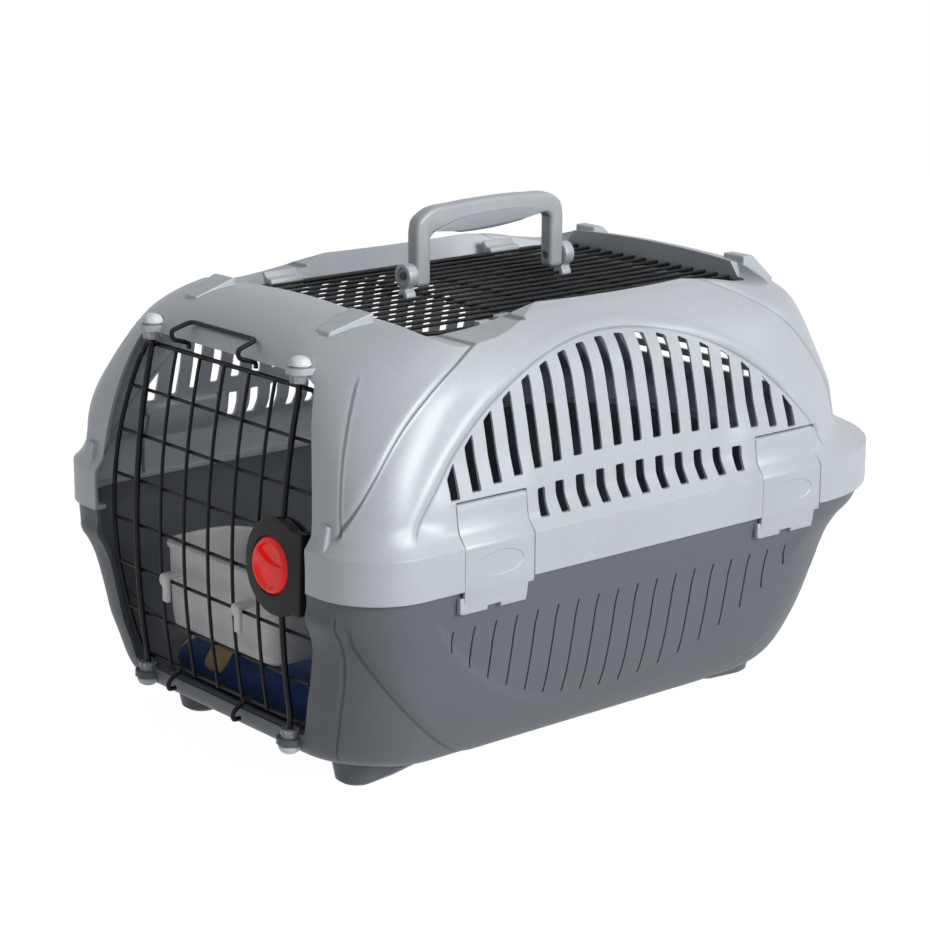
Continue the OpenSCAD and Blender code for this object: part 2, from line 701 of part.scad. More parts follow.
lock_y = -rod_y + 5;
lock_z = -4;                  // height of the knob's axis from the middle of the door
lock_x = door_x(0);
lock_edge = 34;               // from the knob's axis to the straight edge of the housing
lock_shift = 5;               // from the knob's axis to the middle of the housing's round side
lock_corner = 0.84;           // height of the straight edge against the whole housing
cam_half = 8;
cam_reach = 7;
rod_inner = cam_half + 2.5;   // inner end of a drawn lock rod
module lock_outline(r) {
    intersection() {
        translate([lock_shift, 0])
            circle(r = r, $fn = 96);
        translate([-2 * r, -2 * r])
            square([lock_edge + 2 * r, 4 * r]);
    }
    translate([lock_shift, -r * lock_corner])
        square([lock_edge - lock_shift, 2 * r * lock_corner]);
}
// Puts a child on the lock's centre in front of the wires, z pointing out of the door
module on_lock(out) {
    on_door()
        translate([lock_x - out, lock_y, lock_z])
            rotate([90, 0, -90])
                children();
}
plate_back = frame_r + touch;
plate_front = frame_r + 2 * grid_r + 2 * touch + lock_t;
cam_depth = frame_r + 2 * rod_r + gap + 0.4;   // depth of the space for the cam and the rods
shaft_r = 7;
module lock_plate() color([0.12, 0.12, 0.12])
    difference() {
        on_lock(plate_back)
            linear_extrude(plate_front - plate_back)
                lock_outline(lock_r);
        on_lock(0)
            cylinder(r = shaft_r + running_gap, h = 40);
        on_lock(plate_front - 1.5)
            cylinder(r = knob_d / 2 + 0.6, h = 20);
        on_lock(0)
            cylinder(r = cam_half + cam_reach + gap, h = cam_depth);
        // channels for the lock rods and for the wire beside them
        on_lock(0)
            translate([lock_y + rod_y - rod_r - gap, -60, 0])
                cube([2 * rod_r + 2 * gap, 120, cam_depth]);
        on_lock(0)
            translate([lock_y + rod_y - grid_pitch - grid_r - gap, -60, 0])
                cube([2 * grid_r + 2 * gap, 120, frame_r + 2 * grid_r + gap]);
    }
module lock_back_plate() color([0.12, 0.12, 0.12])
    on_lock(-1.2)
        mirror([0, 0, 1])
            linear_extrude(2.5)
                lock_outline(lock_r - 1);
module lock_knob() color("red")
    on_lock(0)
        difference() {
            union() {
                translate([0, 0, frame_r + 0.6])
                    cylinder(r = shaft_r, h = plate_front - frame_r - 0.2);
                translate([0, 0, plate_front - 1.2])
                    cylinder(r1 = knob_d / 2, r2 = knob_d / 2 - 2, h = 2.2);
                rotate([0, 0, 40])
                    translate([-knob_d / 2 + 3, -2.6, plate_front + 0.5])
                        cube([knob_d - 6, 5.2, 2.4]);
            }
            translate([0, 0, frame_r])
                cylinder(r = 2, h = 3);
        }
module lock_cam() color([0.3, 0.3, 0.3])
    on_lock(frame_r + 0.8)
        difference() {
            linear_extrude(cam_depth - frame_r - 1.2) {
                translate([-cam_reach, 0])
                    circle(r = cam_half);
                translate([cam_reach, 0])
                    circle(r = cam_half);
                translate([-cam_reach, -cam_half])
                    square([2 * cam_reach, 2 * cam_half]);
            }
            translate([0, 0, -1])
                cylinder(r = shaft_r + 0.05, h = 12);
        }
// One lock rod: curved beside the door, straight where it enters its bush
module lock_rod(e) {
    on_door()
        mirror([0, 0, e > 0 ? 0 : 1]) {
            arc_bar(-rod_y, rod_r, lock_dx, e * lock_z + rod_inner, lock_kink);
            translate([lock_end_x, -rod_y, lock_kink - 0.6])
                cylinder(r = rod_r, h = bush_in - gap - lock_kink + 0.6);
        }
}
module lock_rod_upper() color([0.1, 0.1, 0.1]) lock_rod(1);
module lock_rod_lower() color([0.1, 0.1, 0.1]) lock_rod(-1);

// ---- bushes --------------------------------------------------------------------------------------

// Bush through an ear, bored for its rod
module bush(s, e) {
    at_bush(s, e)
        difference() {
            translate([0, 0, bush_in])
                cylinder(r = bush_r, h = bush_out - bush_in);
            translate([0, 0, bush_in - 1])
                cylinder(r = rod_r + running_gap, h = bush_out - bush_in);
        }
}
module hinge_bush_top() color("white", 0.5) bush(1, 1);
module hinge_bush_bottom() color("white", 0.5) bush(1, -1);
module lock_bush_top() color("white", 0.5) bush(-1, 1);
module lock_bush_bottom() color("white", 0.5) bush(-1, -1);
module bush_caps() color("white")
    for (s = [-1, 1], e = [-1, 1])
        at_bush(s, e)
            translate([0, 0, bush_out + 0.1]) {
                cylinder(r = cap_r, h = 2.4);
                intersection() {
                    translate([0, 0, -6])
                        sphere(r = cap_h + 6);
                    cylinder(r = cap_r, h = cap_h + 2);
                }
            }

// ---- wire lid ------------------------------------------------------------------------------------

lid_gap = 4;                  // from the lid's frame wire to the edge of the opening
hinge_bar_r = 2;
hinge_x0 = lid_x0 + 43;
hinge_x1 = lid_x1 - 26;
// Outline of the lid's frame wire from the front end of the hinge bar round to its rear end
lid_path = round_path([
    [hinge_x0 + 1, hinge_y, frame_z], [lid_x0 + 36, hinge_y - 1.5, frame_z],
    [lid_x0 + 26, hinge_y - 7, frame_z], [lid_x0 + 14, front_half + 8, frame_z],
    [lid_x0 + lid_gap, front_half - 3, frame_z], [lid_x0 + lid_gap, 3 - front_half, frame_z],
    [lid_x0 + 14, -front_half - 8, frame_z], [lid_x0 + 26, 7 - hinge_y, frame_z],
    [lid_x0 + 36, 1.5 - hinge_y, frame_z], [lid_x0 + 52, -hinge_y, frame_z],
    [lid_x1 - 22, -hinge_y, frame_z], [lid_x1 - 9, 1 - hinge_y, frame_z],
    [lid_x1 - lid_gap - 1, 6 - hinge_y, frame_z], [lid_x1 - lid_gap - 1, hinge_y - 6, frame_z],
    [lid_x1 - 9, hinge_y - 1, frame_z], [hinge_x1 - 1, hinge_y, frame_z]], 8, 3);
module lid_frame_wire() color([0.1, 0.1, 0.1]) {
    wire(lid_path, lid_r, [0, 0, 1]);
    bar([hinge_x0, hinge_y, frame_z], [hinge_x1, hinge_y, frame_z], hinge_bar_r);
}
long_pitch = (2 * hinge_y) / (lid_wire_n + 1);
// Reach of the wires towards each end, on the lid's frame at distance y from the middle
function lid_reach0(y) = lookup(abs(y), [[0, lid_x0 + 3], [front_half - 3, lid_x0 + 3.3],
    [front_half + 8, lid_x0 + 13.5], [hinge_y - 7, lid_x0 + 25.5], [hinge_y, lid_x0 + 38]]);
function lid_reach1(y) = lookup(abs(y), [[0, lid_x1 - 4], [hinge_y - 8, lid_x1 - 4], [hinge_y, lid_x1 - 10]]);
module lid_long_wires() color([0.1, 0.1, 0.1])
    for (k = [1 : lid_wire_n]) {
        y = -hinge_y + k * long_pitch;
        bar([lid_reach0(y), y, long_z], [lid_reach1(y), y, long_z], long_r);
    }
hinge_clip_len = 30;
hinge_clip_x = [lid_x0 + 63, lid_x1 - 63];
cross_x0 = latch_x + latch_len / 2 + 12;
cross_x1 = hinge_clip_x[1] - hinge_clip_len / 2 - 4.5;
cross_z = long_z - 2 * long_r - touch;
module lid_cross_wires() color([0.1, 0.1, 0.1])
    for (k = [0 : lid_cross_n - 1]) {
        x = cross_x0 + (cross_x1 - cross_x0) * k / (lid_cross_n - 1);
        bar([x, -hinge_y + lid_r + touch, cross_z], [x, hinge_y - hinge_bar_r - touch, cross_z], long_r);
    }
module lid_hinge_clips() color("silver")
    for (x = hinge_clip_x)
        difference() {
            translate([x - hinge_clip_len / 2, hinge_y - 4.6, ledge_z + 0.02])
                cube([hinge_clip_len, 7.8, 8]);
            bar([x - 30, hinge_y, frame_z], [x + 30, hinge_y, frame_z], hinge_bar_r + running_gap);
        }
tongue_len = 8;
module lid_latch() color("silver")
    difference() {
        union() {
            translate([latch_x - latch_len / 2 + tongue_len, -hinge_y - 3.4, frame_z - lid_r + 0.1])
                cube([latch_len - tongue_len, 8, 7.5]);
            translate([latch_x - latch_len / 2, -hinge_y - 3.4, frame_z - lid_r + 0.1])
                cube([tongue_len + 1, 8, lid_r + catch_rise - 0.4]);
        }
        bar([latch_x - 20, -hinge_y, frame_z], [latch_x + 20, -hinge_y, frame_z], lid_r + running_gap);
    }

// ---- handle --------------------------------------------------------------------------------------

handle_x = lid_mid_x + 2.5;
pivot_h = long_z + 15;        // height of the handle's pivots
arm_x = handle_len / 2 - arm_t / 2;
grip_top = long_z + handle_h;
bracket_t = 9;
bracket_x = handle_len / 2 + gap + bracket_t / 2;
ring_r = 9;
hpin_r = 3;
wire_ring_r = 5.4;            // lower ring of a bracket, round the lid wire nearest to the middle
wire_ring_y = long_pitch * round((lid_wire_n + 1) / 2) - hinge_y;
module handle_bracket(e) color("silver") {
    x = handle_x + e * bracket_x;
    difference() {
        union() {
            translate([x - bracket_t / 2, 0, pivot_h])
                rotate([0, 90, 0])
                    cylinder(r = ring_r, h = bracket_t);
            translate([x - bracket_t / 2, wire_ring_y, long_z])
                rotate([0, 90, 0])
                    cylinder(r = wire_ring_r, h = bracket_t);
            hull()
                for (q = [[0, pivot_h - 4], [wire_ring_y, long_z + 3]])
                    translate([x - bracket_t / 2 + 0.6, q[0] - 3.6, q[1] - 1])
                        cube([bracket_t - 1.2, 7.2, 2]);
        }
        translate([x - bracket_t, 0, pivot_h])
            rotate([0, 90, 0])
                cylinder(r = hpin_r + 0.02, h = 2 * bracket_t);
        translate([x - bracket_t, wire_ring_y, long_z])
            rotate([0, 90, 0])
                cylinder(r = long_r + touch, h = 2 * bracket_t);
    }
}
module handle_bracket_front() handle_bracket(-1);
module handle_bracket_rear() handle_bracket(1);
module handle_pins() color("gray")
    for (e = [-1, 1])
        translate([handle_x + e * (bracket_x + bracket_t / 2) - (e > 0 ? 21 : 0), 0, pivot_h])
            rotate([0, 90, 0])
                cylinder(r = hpin_r, h = 21);
module arm(e) {
    translate([handle_x + e * arm_x, 0, 0])
        difference() {
            union() {
                translate([-arm_t / 2, 0, pivot_h])
                    rotate([0, 90, 0])
                        cylinder(r = 8, h = arm_t);
                translate([-arm_t / 2, -6, pivot_h])
                    cube([arm_t, 12, grip_top - pivot_h - 12]);
            }
            translate([-arm_t, 0, pivot_h])
                rotate([0, 90, 0])
                    cylinder(r = hpin_r + running_gap, h = 2 * arm_t);
        }
}
module grip_profile() {
    translate([-handle_len / 2, 0])
        polygon([[0, -30], [0, -14], [4, -5], [14, 0], [handle_len / 2, 3], [handle_len - 14, 0],
            [handle_len - 4, -5], [handle_len, -14], [handle_len, -30], [handle_len - arm_t, -30],
            [handle_len - arm_t, -17], [handle_len - arm_t - 6, -15], [handle_len * 0.62, -20],
            [handle_len * 0.38, -20], [arm_t + 6, -15], [arm_t, -17], [arm_t, -30]]);
}
module carry_handle() color("gray") {
    arm(-1);
    arm(1);
    translate([handle_x, 6, grip_top - 3])
        rotate([90, 0, 0])
            linear_extrude(12)
                grip_profile();
}
module grip_insert() color("darkgray")
    for (s = [-1, 1])
        translate([handle_x - 42, s > 0 ? 6.05 : -8.05, grip_top - 19])
            cube([84, 2, 12]);

// ---- bowl and cushion ----------------------------------------------------------------------------

bowl_wall = 2.4;
hook_w = 7;
hook_y = [rod_y - grid_pitch - grid_r - gap - hook_w / 2, rod_y - 4 * grid_pitch - grid_r - gap - hook_w / 2];
bowl_y = (hook_y[0] + hook_y[1]) / 2;
hook_z = half_h - 5 * door_h / 7;      // cross wire that carries the bowl
wire_x = door_mid[0] + (door_x(hook_z) + flush) * cos(door_tilt) + hook_z * sin(door_tilt);
wire_z = door_mid[2] - (door_x(hook_z) + flush) * sin(door_tilt) + hook_z * cos(door_tilt);
bowl_x = wire_x + 9;          // front wall of the bowl
bowl_z = wire_z - 41;
module bowl_plan(o) {
    front_r = 12;
    back_r = 34;
    for (s = [-1, 1]) {
        translate([front_r + o, s * (bowl_w / 2 - front_r - o)])
            circle(r = front_r);
        translate([bowl_d - back_r - o, s * (bowl_w / 2 - back_r - o)])
            circle(r = back_r);
    }
    translate([o, -bowl_w / 2 + front_r + o])
        square([bowl_d - back_r - 2 * o, bowl_w - 2 * front_r - 2 * o]);
    translate([front_r + o, -bowl_w / 2 + o])
        square([bowl_d - back_r - front_r - 2 * o, bowl_w - 2 * o]);
    translate([bowl_d / 2, -bowl_w / 2 + back_r + o])
        square([bowl_d / 2 - o, bowl_w - 2 * back_r - 2 * o]);
}
module food_bowl() color("white") {
    difference() {
        translate([bowl_x, bowl_y, bowl_z])
            linear_extrude(bowl_h)
                bowl_plan(0);
        translate([bowl_x, bowl_y, bowl_z + bowl_wall])
            linear_extrude(bowl_h)
                bowl_plan(bowl_wall);
    }
    // hooks over the cross wire
    for (y = hook_y) {
        translate([wire_x - grid_r - gap - 4, y - hook_w / 2, wire_z + grid_r + gap])
            cube([bowl_x - wire_x + grid_r + gap + 4 + 1, hook_w, 4]);
        translate([wire_x - grid_r - gap - 4, y - hook_w / 2, wire_z - 15])
            cube([4, hook_w, 18]);
    }
}
floor_z = tub_z + wall;
module cushion() color([0.16, 0.2, 0.4])
    loft([
        [floor_z + gap, face_x + 62, half_l - 114, half_w - 78, 30, 56],
        [floor_z + 12, face_x + 40, half_l - 86, half_w - 57, 34, 66],
        [floor_z + cushion_t - 10, face_x + 24, half_l - 74, half_w - 46, 36, 70],
        [floor_z + cushion_t, face_x + 42, half_l - 92, half_w - 62, 32, 62]]);

lower_shell();
upper_shell();
side_clip_front_right();
side_clip_rear_right();
side_clip_front_left();
side_clip_rear_left();
door_frame_wire();
door_vertical_wires();
door_cross_wires();
door_pull_loop();
door_sill_hooks();
door_hinge_rod();
lock_plate();
lock_back_plate();
lock_knob();
lock_cam();
lock_rod_upper();
lock_rod_lower();
hinge_bush_top();
hinge_bush_bottom();
lock_bush_top();
lock_bush_bottom();
bush_caps();
lid_frame_wire();
lid_long_wires();
lid_cross_wires();
lid_hinge_clips();
lid_latch();
handle_bracket_front();
handle_bracket_rear();
handle_pins();
carry_handle();
grip_insert();
food_bowl();
cushion();
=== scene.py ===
"""Pet carrier: two moulded shells, a wire door with a rotary lock, a wire lid with a folding handle,
a bowl on the door and a cushion. Sizes are in millimetres and become metres where a mesh is made."""

import contextlib  # noqa: E402
import json  # noqa: E402
import logging  # noqa: E402
import math  # noqa: E402
from collections.abc import Callable, Iterator, Sequence  # noqa: E402
from dataclasses import dataclass, field  # noqa: E402
from enum import Enum  # noqa: E402

import bpy  # noqa: E402
import numpy as np  # noqa: E402
from mathutils import Matrix, Vector  # noqa: E402


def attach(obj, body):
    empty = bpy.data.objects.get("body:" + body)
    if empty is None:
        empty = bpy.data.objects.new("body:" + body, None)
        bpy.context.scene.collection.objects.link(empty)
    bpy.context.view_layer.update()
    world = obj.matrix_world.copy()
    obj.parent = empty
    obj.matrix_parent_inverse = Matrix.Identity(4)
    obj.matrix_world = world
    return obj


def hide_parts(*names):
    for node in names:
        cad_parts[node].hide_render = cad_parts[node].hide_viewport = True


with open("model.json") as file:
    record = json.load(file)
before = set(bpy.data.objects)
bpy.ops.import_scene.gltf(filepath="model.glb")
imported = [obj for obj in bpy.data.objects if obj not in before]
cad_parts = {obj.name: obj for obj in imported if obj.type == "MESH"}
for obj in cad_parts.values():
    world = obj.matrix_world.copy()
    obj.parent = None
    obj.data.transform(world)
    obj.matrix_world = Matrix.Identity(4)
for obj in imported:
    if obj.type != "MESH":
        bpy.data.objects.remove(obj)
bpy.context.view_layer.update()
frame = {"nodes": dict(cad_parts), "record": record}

MM = 0.001
LOG = logging.getLogger("carrier")
Point = Sequence[float]

# ---- sizes that several pieces share -------------------------------------------------------------

HALF_L, HALF_W, ROOF_Z = 277.0, 194.0, 332.0
WALL, RIM_Z, CREASE_Z, TUB_Z = 3.0, 159.0, 189.0, 15.0
FACE_X = -HALF_L + 9
LID_X0, LID_X1, LID_HALF, FRONT_HALF = -184.0, 158.0, 109.0, 77.0
LEDGE_Z, DIP_Z = 311.2, 314.5
RAIL_LEAN = 9.0
HINGE_Y, LID_FRAME_Z, LONG_Z = 105.0, 313.2, 316.2
VENT_X, VENT_PITCH, VENT_N = -31.0, 19.0, 18
PIVOT_Y, PIVOT_Z = 182.0, 214.0
CLIP_X = (-162.0, 122.0)
CLIP_HALF = 30.5
DOOR_TILT = math.radians(2.6)
DOOR_MID = Vector((-251.0, 0.0, 170.0))
HALF_H, ROD_Y, CORNER_Y, SIDE_BOW, BULGE = 117.0, 89.5, 102.5, 23.0, 11.7
ARC_R = (HALF_H * HALF_H + BULGE * BULGE) / (2 * BULGE)
ROD_X, LOCK_ROD_X = -3.95, -5.2
BUSH_IN, BUSH_OUT = 121.5, 133.0
JAMB_W = 32.0
ARCH = (VENT_X, 77.9, 232.4)
SEAM = (-22.0, 77.0, 274.5)
FRONT_SEAM = (-90.4, 130.6, 192.9)
TUB_ARC = (VENT_X, 252.6, 260.0)
RIB_ARC = (VENT_X, 257.0, 217.0)


class Way(Enum):
    """Axis along which an outline is extruded."""

    X = 0
    Y = 1
    Z = 2


class Cut(Enum):
    """How a second solid changes the first one."""

    AWAY = "DIFFERENCE"
    JOIN = "UNION"
    KEEP = "INTERSECT"


# ---- mesh helpers --------------------------------------------------------------------------------


def activate(obj: bpy.types.Object) -> None:
    """Selects only this object and makes it the active one.

    Args:
        obj: The object.
    """
    bpy.ops.object.select_all(action="DESELECT")
    obj.select_set(True)
    bpy.context.view_layer.objects.active = obj


@contextlib.contextmanager
def editing(obj: bpy.types.Object, select: str = "SELECT") -> Iterator[None]:
    """Edit mode on one object.

    Args:
        obj: The mesh to edit.
        select: What happens to the selection first, SELECT or DESELECT.
    """
    activate(obj)
    bpy.ops.object.mode_set(mode="EDIT")
    bpy.ops.mesh.select_all(action=select)
    yield
    bpy.ops.object.mode_set(mode="OBJECT")


def mesh_piece(name: str, points: Sequence[Point], faces: Sequence[Sequence[int]]) -> bpy.types.Object:
    """Makes a mesh object.

    Args:
        name: The object's name.
        points: Corners in millimetres.
        faces: Corner numbers of each face, counter-clockwise from outside.

    Returns:
        The new object.
    """
    mesh = bpy.data.meshes.new(name)
    mesh.from_pydata([tuple(c * MM for c in p) for p in points], [], [tuple(f) for f in faces])
    mesh.update()
    obj = bpy.data.objects.new(name, mesh)
    bpy.context.scene.collection.objects.link(obj)
    return obj


def turn_out(obj: bpy.types.Object) -> bpy.types.Object:
    """Merges doubled corners and points all faces outwards.

    Args:
        obj: The mesh.

    Returns:
        The same object.
    """
    with editing(obj):
        bpy.ops.mesh.remove_doubles(threshold=0.00001)
        bpy.ops.mesh.normals_make_consistent(inside=False)
    return obj


def plate(name: str, outline: Sequence[Point], way: Way, start: float, end: float) -> bpy.types.Object:
    """Extrudes a flat outline.

    Args:
        name: The object's name.
        outline: Corners in the plane across the axis: (y, z), (x, z) or (x, y).
        way: The axis.
        start: Where the outline stands on it.
        end: Where the extrusion ends.

    Returns:
        The closed solid.
    """

    def place(p: Point, d: float) -> tuple[float, ...]:
        """Puts a flat point at a depth.

        Args:
            p: The flat point.
            d: Its depth on the axis.

        Returns:
            The point in space.
        """
        q = list(p)
        q.insert(way.value, d)
        return tuple(q)

    obj = mesh_piece(name, [place(p, start) for p in outline], [range(len(outline))])
    with editing(obj):
        bpy.ops.mesh.extrude_region_move(
            TRANSFORM_OT_translate={"value": tuple(c * MM for c in place((0, 0), end - start))})
    return turn_out(obj)


def block(name: str, low: Point, high: Point) -> bpy.types.Object:
    """A box between two corners, as the start of a piece or as a cutter.

    Args:
        name: The object's name.
        low: The corner with the smallest coordinates.
        high: The opposite corner.

    Returns:
        The box.
    """
    centre = [(a + b) / 2 * MM for a, b in zip(low, high)]
    deselect_all()
    bpy.ops.mesh.primitive_cube_add(size=1, location=centre)
    obj = bpy.context.active_object
    obj.name = name
    obj.scale = [(b - a) * MM for a, b in zip(low, high)]
    bpy.ops.object.transform_apply(location=True, rotation=True, scale=True)
    return obj


def deselect_all() -> None:
    """Deselects everything."""
    bpy.ops.object.select_all(action="DESELECT")


def rod(name: str, start: Point, end: Point, radius: float, sides: int = 48,
        end_radius: float | None = None) -> bpy.types.Object:
    """A round bar between two points.

    Args:
        name: The object's name.
        start: Middle of one end.
        end: Middle of the other end.
        radius: Its radius at the start.
        sides: Number of its sides.
        end_radius: Its radius at the end, or None if it is the same.

    Returns:
        The solid.
    """
    a, b = Vector(start), Vector(end)
    deselect_all()
    bpy.ops.mesh.primitive_cone_add(
        vertices=sides, radius1=radius * MM, radius2=(radius if end_radius is None else end_radius) * MM,
        depth=(b - a).length * MM)
    obj = bpy.context.active_object
    obj.name = name
    turn = (b - a).to_track_quat("Z", "Y").to_matrix().to_4x4()
    obj.data.transform(Matrix.Translation((a + b) / 2 * MM) @ turn)
    return obj


def moved(obj: bpy.types.Object, matrix: Matrix) -> bpy.types.Object:
    """Applies a matrix to the mesh itself.

    Args:
        obj: The mesh.
        matrix: The matrix, in millimetres.

    Returns:
        The same object.
    """
    m = matrix.copy()
    m.translation = m.translation * MM
    obj.data.transform(m)
    if m.determinant() < 0:
        obj.data.flip_normals()
    return obj


def copied(obj: bpy.types.Object, name: str, matrix: Matrix) -> bpy.types.Object:
    """Copies an object with its own mesh.

    Args:
        obj: The object.
        name: Name of the copy.
        matrix: Matrix in millimetres by which the copy is moved.

    Returns:
        The copy.
    """
    twin = bpy.data.objects.new(name, obj.data.copy())
    bpy.context.scene.collection.objects.link(twin)
    return moved(twin, matrix)


def modify(obj: bpy.types.Object, kind: str, **settings: object) -> bpy.types.Object:
    """Adds a modifier, sets it and applies it.

    Args:
        obj: The mesh.
        kind: Type of the modifier.
        settings: Its settings by name.

    Returns:
        The same object.
    """
    activate(obj)
    bpy.ops.object.modifier_add(type=kind)
    modifier = obj.modifiers[-1]
    for key, value in settings.items():
        setattr(modifier, key, value)
    bpy.ops.object.modifier_apply(modifier=modifier.name)
    return obj


def shape(obj: bpy.types.Object, how: Cut, *others: bpy.types.Object) -> bpy.types.Object:
    """Cuts, joins or keeps with other solids, which are used up.

    Args:
        obj: The solid that changes.
        how: How it changes.
        others: The other solids, in order.

    Returns:
        The changed solid.
    """
    for other in others:
        modify(obj, "BOOLEAN", solver="MANIFOLD", operation=how.value, object=other)
        bpy.data.objects.remove(other)
    return obj


def joined(objects: Sequence[bpy.types.Object]) -> bpy.types.Object:
    """Puts separate meshes into the first one's mesh.

    Args:
        objects: The meshes.

    Returns:
        The first object.
    """
    activate(objects[0])
    for obj in objects[1:]:
        obj.select_set(True)
    bpy.ops.object.join()
    return objects[0]


def rounded(obj: bpy.types.Object, width: float, segments: int = 3, angle: float = 35) -> bpy.types.Object:
    """Rounds every edge that is sharper than the angle."""
    return modify(obj, "BEVEL", width=width * MM, segments=segments, limit_method="ANGLE",
                  angle_limit=math.radians(angle), use_clamp_overlap=True, harden_normals=False)


def smooth(obj: bpy.types.Object, angle: float = 32) -> bpy.types.Object:
    """Shades the mesh smooth up to an angle.

    Args:
        obj: The mesh.
        angle: The angle in degrees.

    Returns:
        The same object.
    """
    activate(obj)
    bpy.ops.object.shade_smooth_by_angle(angle=math.radians(angle))
    return obj


def flowing(points: Sequence[Point], step: float, corners: Sequence[int] = (), closed: bool = False) -> np.ndarray:
    """A smooth line through points.

    Args:
        points: The points, of any number of values each.
        step: Distance of the new points.
        corners: Numbers of the points where the line keeps its corner.
        closed: Whether the line returns to its start.

    Returns:
        The new points, one row each.
    """
    p = np.array(points, float)
    n = len(p)
    spans = n if closed else n - 1
    nxt = [(i + 1) % n for i in range(n)]
    chord = [max(np.linalg.norm(p[nxt[i]][:4] - p[i][:4]), 1e-6) for i in range(spans)]

    def slope(i: int, span: int) -> np.ndarray:
        """Direction of the line at a point, as seen from a span.

        Args:
            i: Number of the point.
            span: Number of the span.

        Returns:
            Change per millimetre.
        """
        own = (p[nxt[span]] - p[span]) / chord[span]
        if i in corners or (not closed and i in (0, n - 1)):
            return own
        before, after = (i - 1) % n, i
        a = (p[i] - p[before]) / chord[before]
        b = (p[nxt[i]] - p[i]) / chord[after]
        return (a * chord[after] + b * chord[before]) / (chord[before] + chord[after])

    out = []
    for i in range(spans):
        count = max(1, round(chord[i] / step))
        m0, m1 = slope(i, i) * chord[i], slope(nxt[i], i) * chord[i]
        for k in range(count):
            t = k / count
            out.append((2 * t**3 - 3 * t**2 + 1) * p[i] + (t**3 - 2 * t**2 + t) * m0
                       + (3 * t**2 - 2 * t**3) * p[nxt[i]] + (t**3 - t**2) * m1)
    if not closed:
        out.append(p[-1])
    return np.array(out)


def tube(name: str, path: Sequence[Point], radius: float, closed: bool = False, sides: int = 3) -> bpy.types.Object:
    """A round wire along a path, made from a curve and turned into a mesh.

    Args:
        name: The object's name.
        path: Points in millimetres.
        radius: Radius of the wire.
        closed: Whether it is a ring.
        sides: Resolution of its round section.

    Returns:
        The mesh object.
    """
    curve = bpy.data.curves.new(name, "CURVE")
    curve.dimensions = "3D"
    curve.bevel_depth = radius * MM
    curve.bevel_resolution = sides
    curve.use_fill_caps = not closed
    line = curve.splines.new("POLY")
    line.points.add(len(path) - 1)
    for point, place in zip(line.points, path):
        point.co = (*(c * MM for c in place), 1)
    line.use_cyclic_u = closed
    obj = bpy.data.objects.new(name, curve)
    bpy.context.scene.collection.objects.link(obj)
    activate(obj)
    bpy.ops.object.convert(target="MESH")
    return smooth(turn_out(bpy.context.active_object), 50)


def loft(name: str, rings: Sequence[np.ndarray]) -> bpy.types.Object:
    """A closed solid through rings that run upwards.

    Args:
        name: The object's name.
        rings: The rings, of equally many points.

    Returns:
        The solid.
    """
    n = len(rings[0])
    points = np.concatenate(rings)
    faces = [(j * n + i, j * n + (i + 1) % n, (j + 1) * n + (i + 1) % n, (j + 1) * n + i)
             for j in range(len(rings) - 1) for i in range(n)]
    top = (len(rings) - 1) * n
    faces += [tuple(range(n - 1, -1, -1)), tuple(range(top, top + n))]
    return mesh_piece(name, [tuple(p) for p in points], faces)


def ramp(value: np.ndarray, low: float, high: float) -> np.ndarray:
    """A soft step from 0 at low to 1 at high."""
    t = np.clip((value - low) / (high - low), 0, 1)
    return t * t * (3 - 2 * t)


# ---- finishes ------------------------------------------------------------------------------------


def tone(red: int, green: int, blue: int) -> tuple[float, float, float, float]:
    """A colour as it looks on a screen, turned into the shader's linear values."""
    linear = [(c / 255 / 12.92) if c / 255 <= 0.04045 else ((c / 255 + 0.055) / 1.055) ** 2.4
              for c in (red, green, blue)]
    return linear[0], linear[1], linear[2], 1.0


class Signal:
    """A shader output that takes part in Python expressions."""

    def __init__(self, graph: "Graph", socket: bpy.types.NodeSocket) -> None:
        """Keeps the output and the graph it belongs to."""
        self.graph, self.socket = graph, socket

    def _math(self, operation: str, first: "Signal | float", second: "Signal | float") -> "Signal":
        """One Math node."""
        return self.graph.node("ShaderNodeMath", {"operation": operation}, {0: first, 1: second})

    def __add__(self, other: "Signal | float") -> "Signal":
        """Sum."""
        return self._math("ADD", self, other)

    def __radd__(self, other: float) -> "Signal":
        """Sum with the number first."""
        return self._math("ADD", other, self)

    def __sub__(self, other: "Signal | float") -> "Signal":
        """Difference."""
        return self._math("SUBTRACT", self, other)

    def __rsub__(self, other: float) -> "Signal":
        """Difference with the number first."""
        return self._math("SUBTRACT", other, self)

    def __mul__(self, other: "Signal | float") -> "Signal":
        """Product."""
        return self._math("MULTIPLY", self, other)

    def __rmul__(self, other: float) -> "Signal":
        """Product with the number first."""
        return self._math("MULTIPLY", other, self)

    def __pow__(self, other: float) -> "Signal":
        """Power."""
        return self._math("POWER", self, other)

    def __abs__(self) -> "Signal":
        """Value without its sign."""
        return self._math("ABSOLUTE", self, 0.0)

    def __gt__(self, other: float) -> "Signal":
        """1 where the value is over a number."""
        return self._math("GREATER_THAN", self, other)

    def band(self, low: float, high: float) -> "Signal":
        """A soft step from 0 at low to 1 at high."""
        return self.graph.node("ShaderNodeMapRange", {"interpolation_type": "SMOOTHSTEP"},
                               {0: self, 1: low, 2: high, 3: 0.0, 4: 1.0})


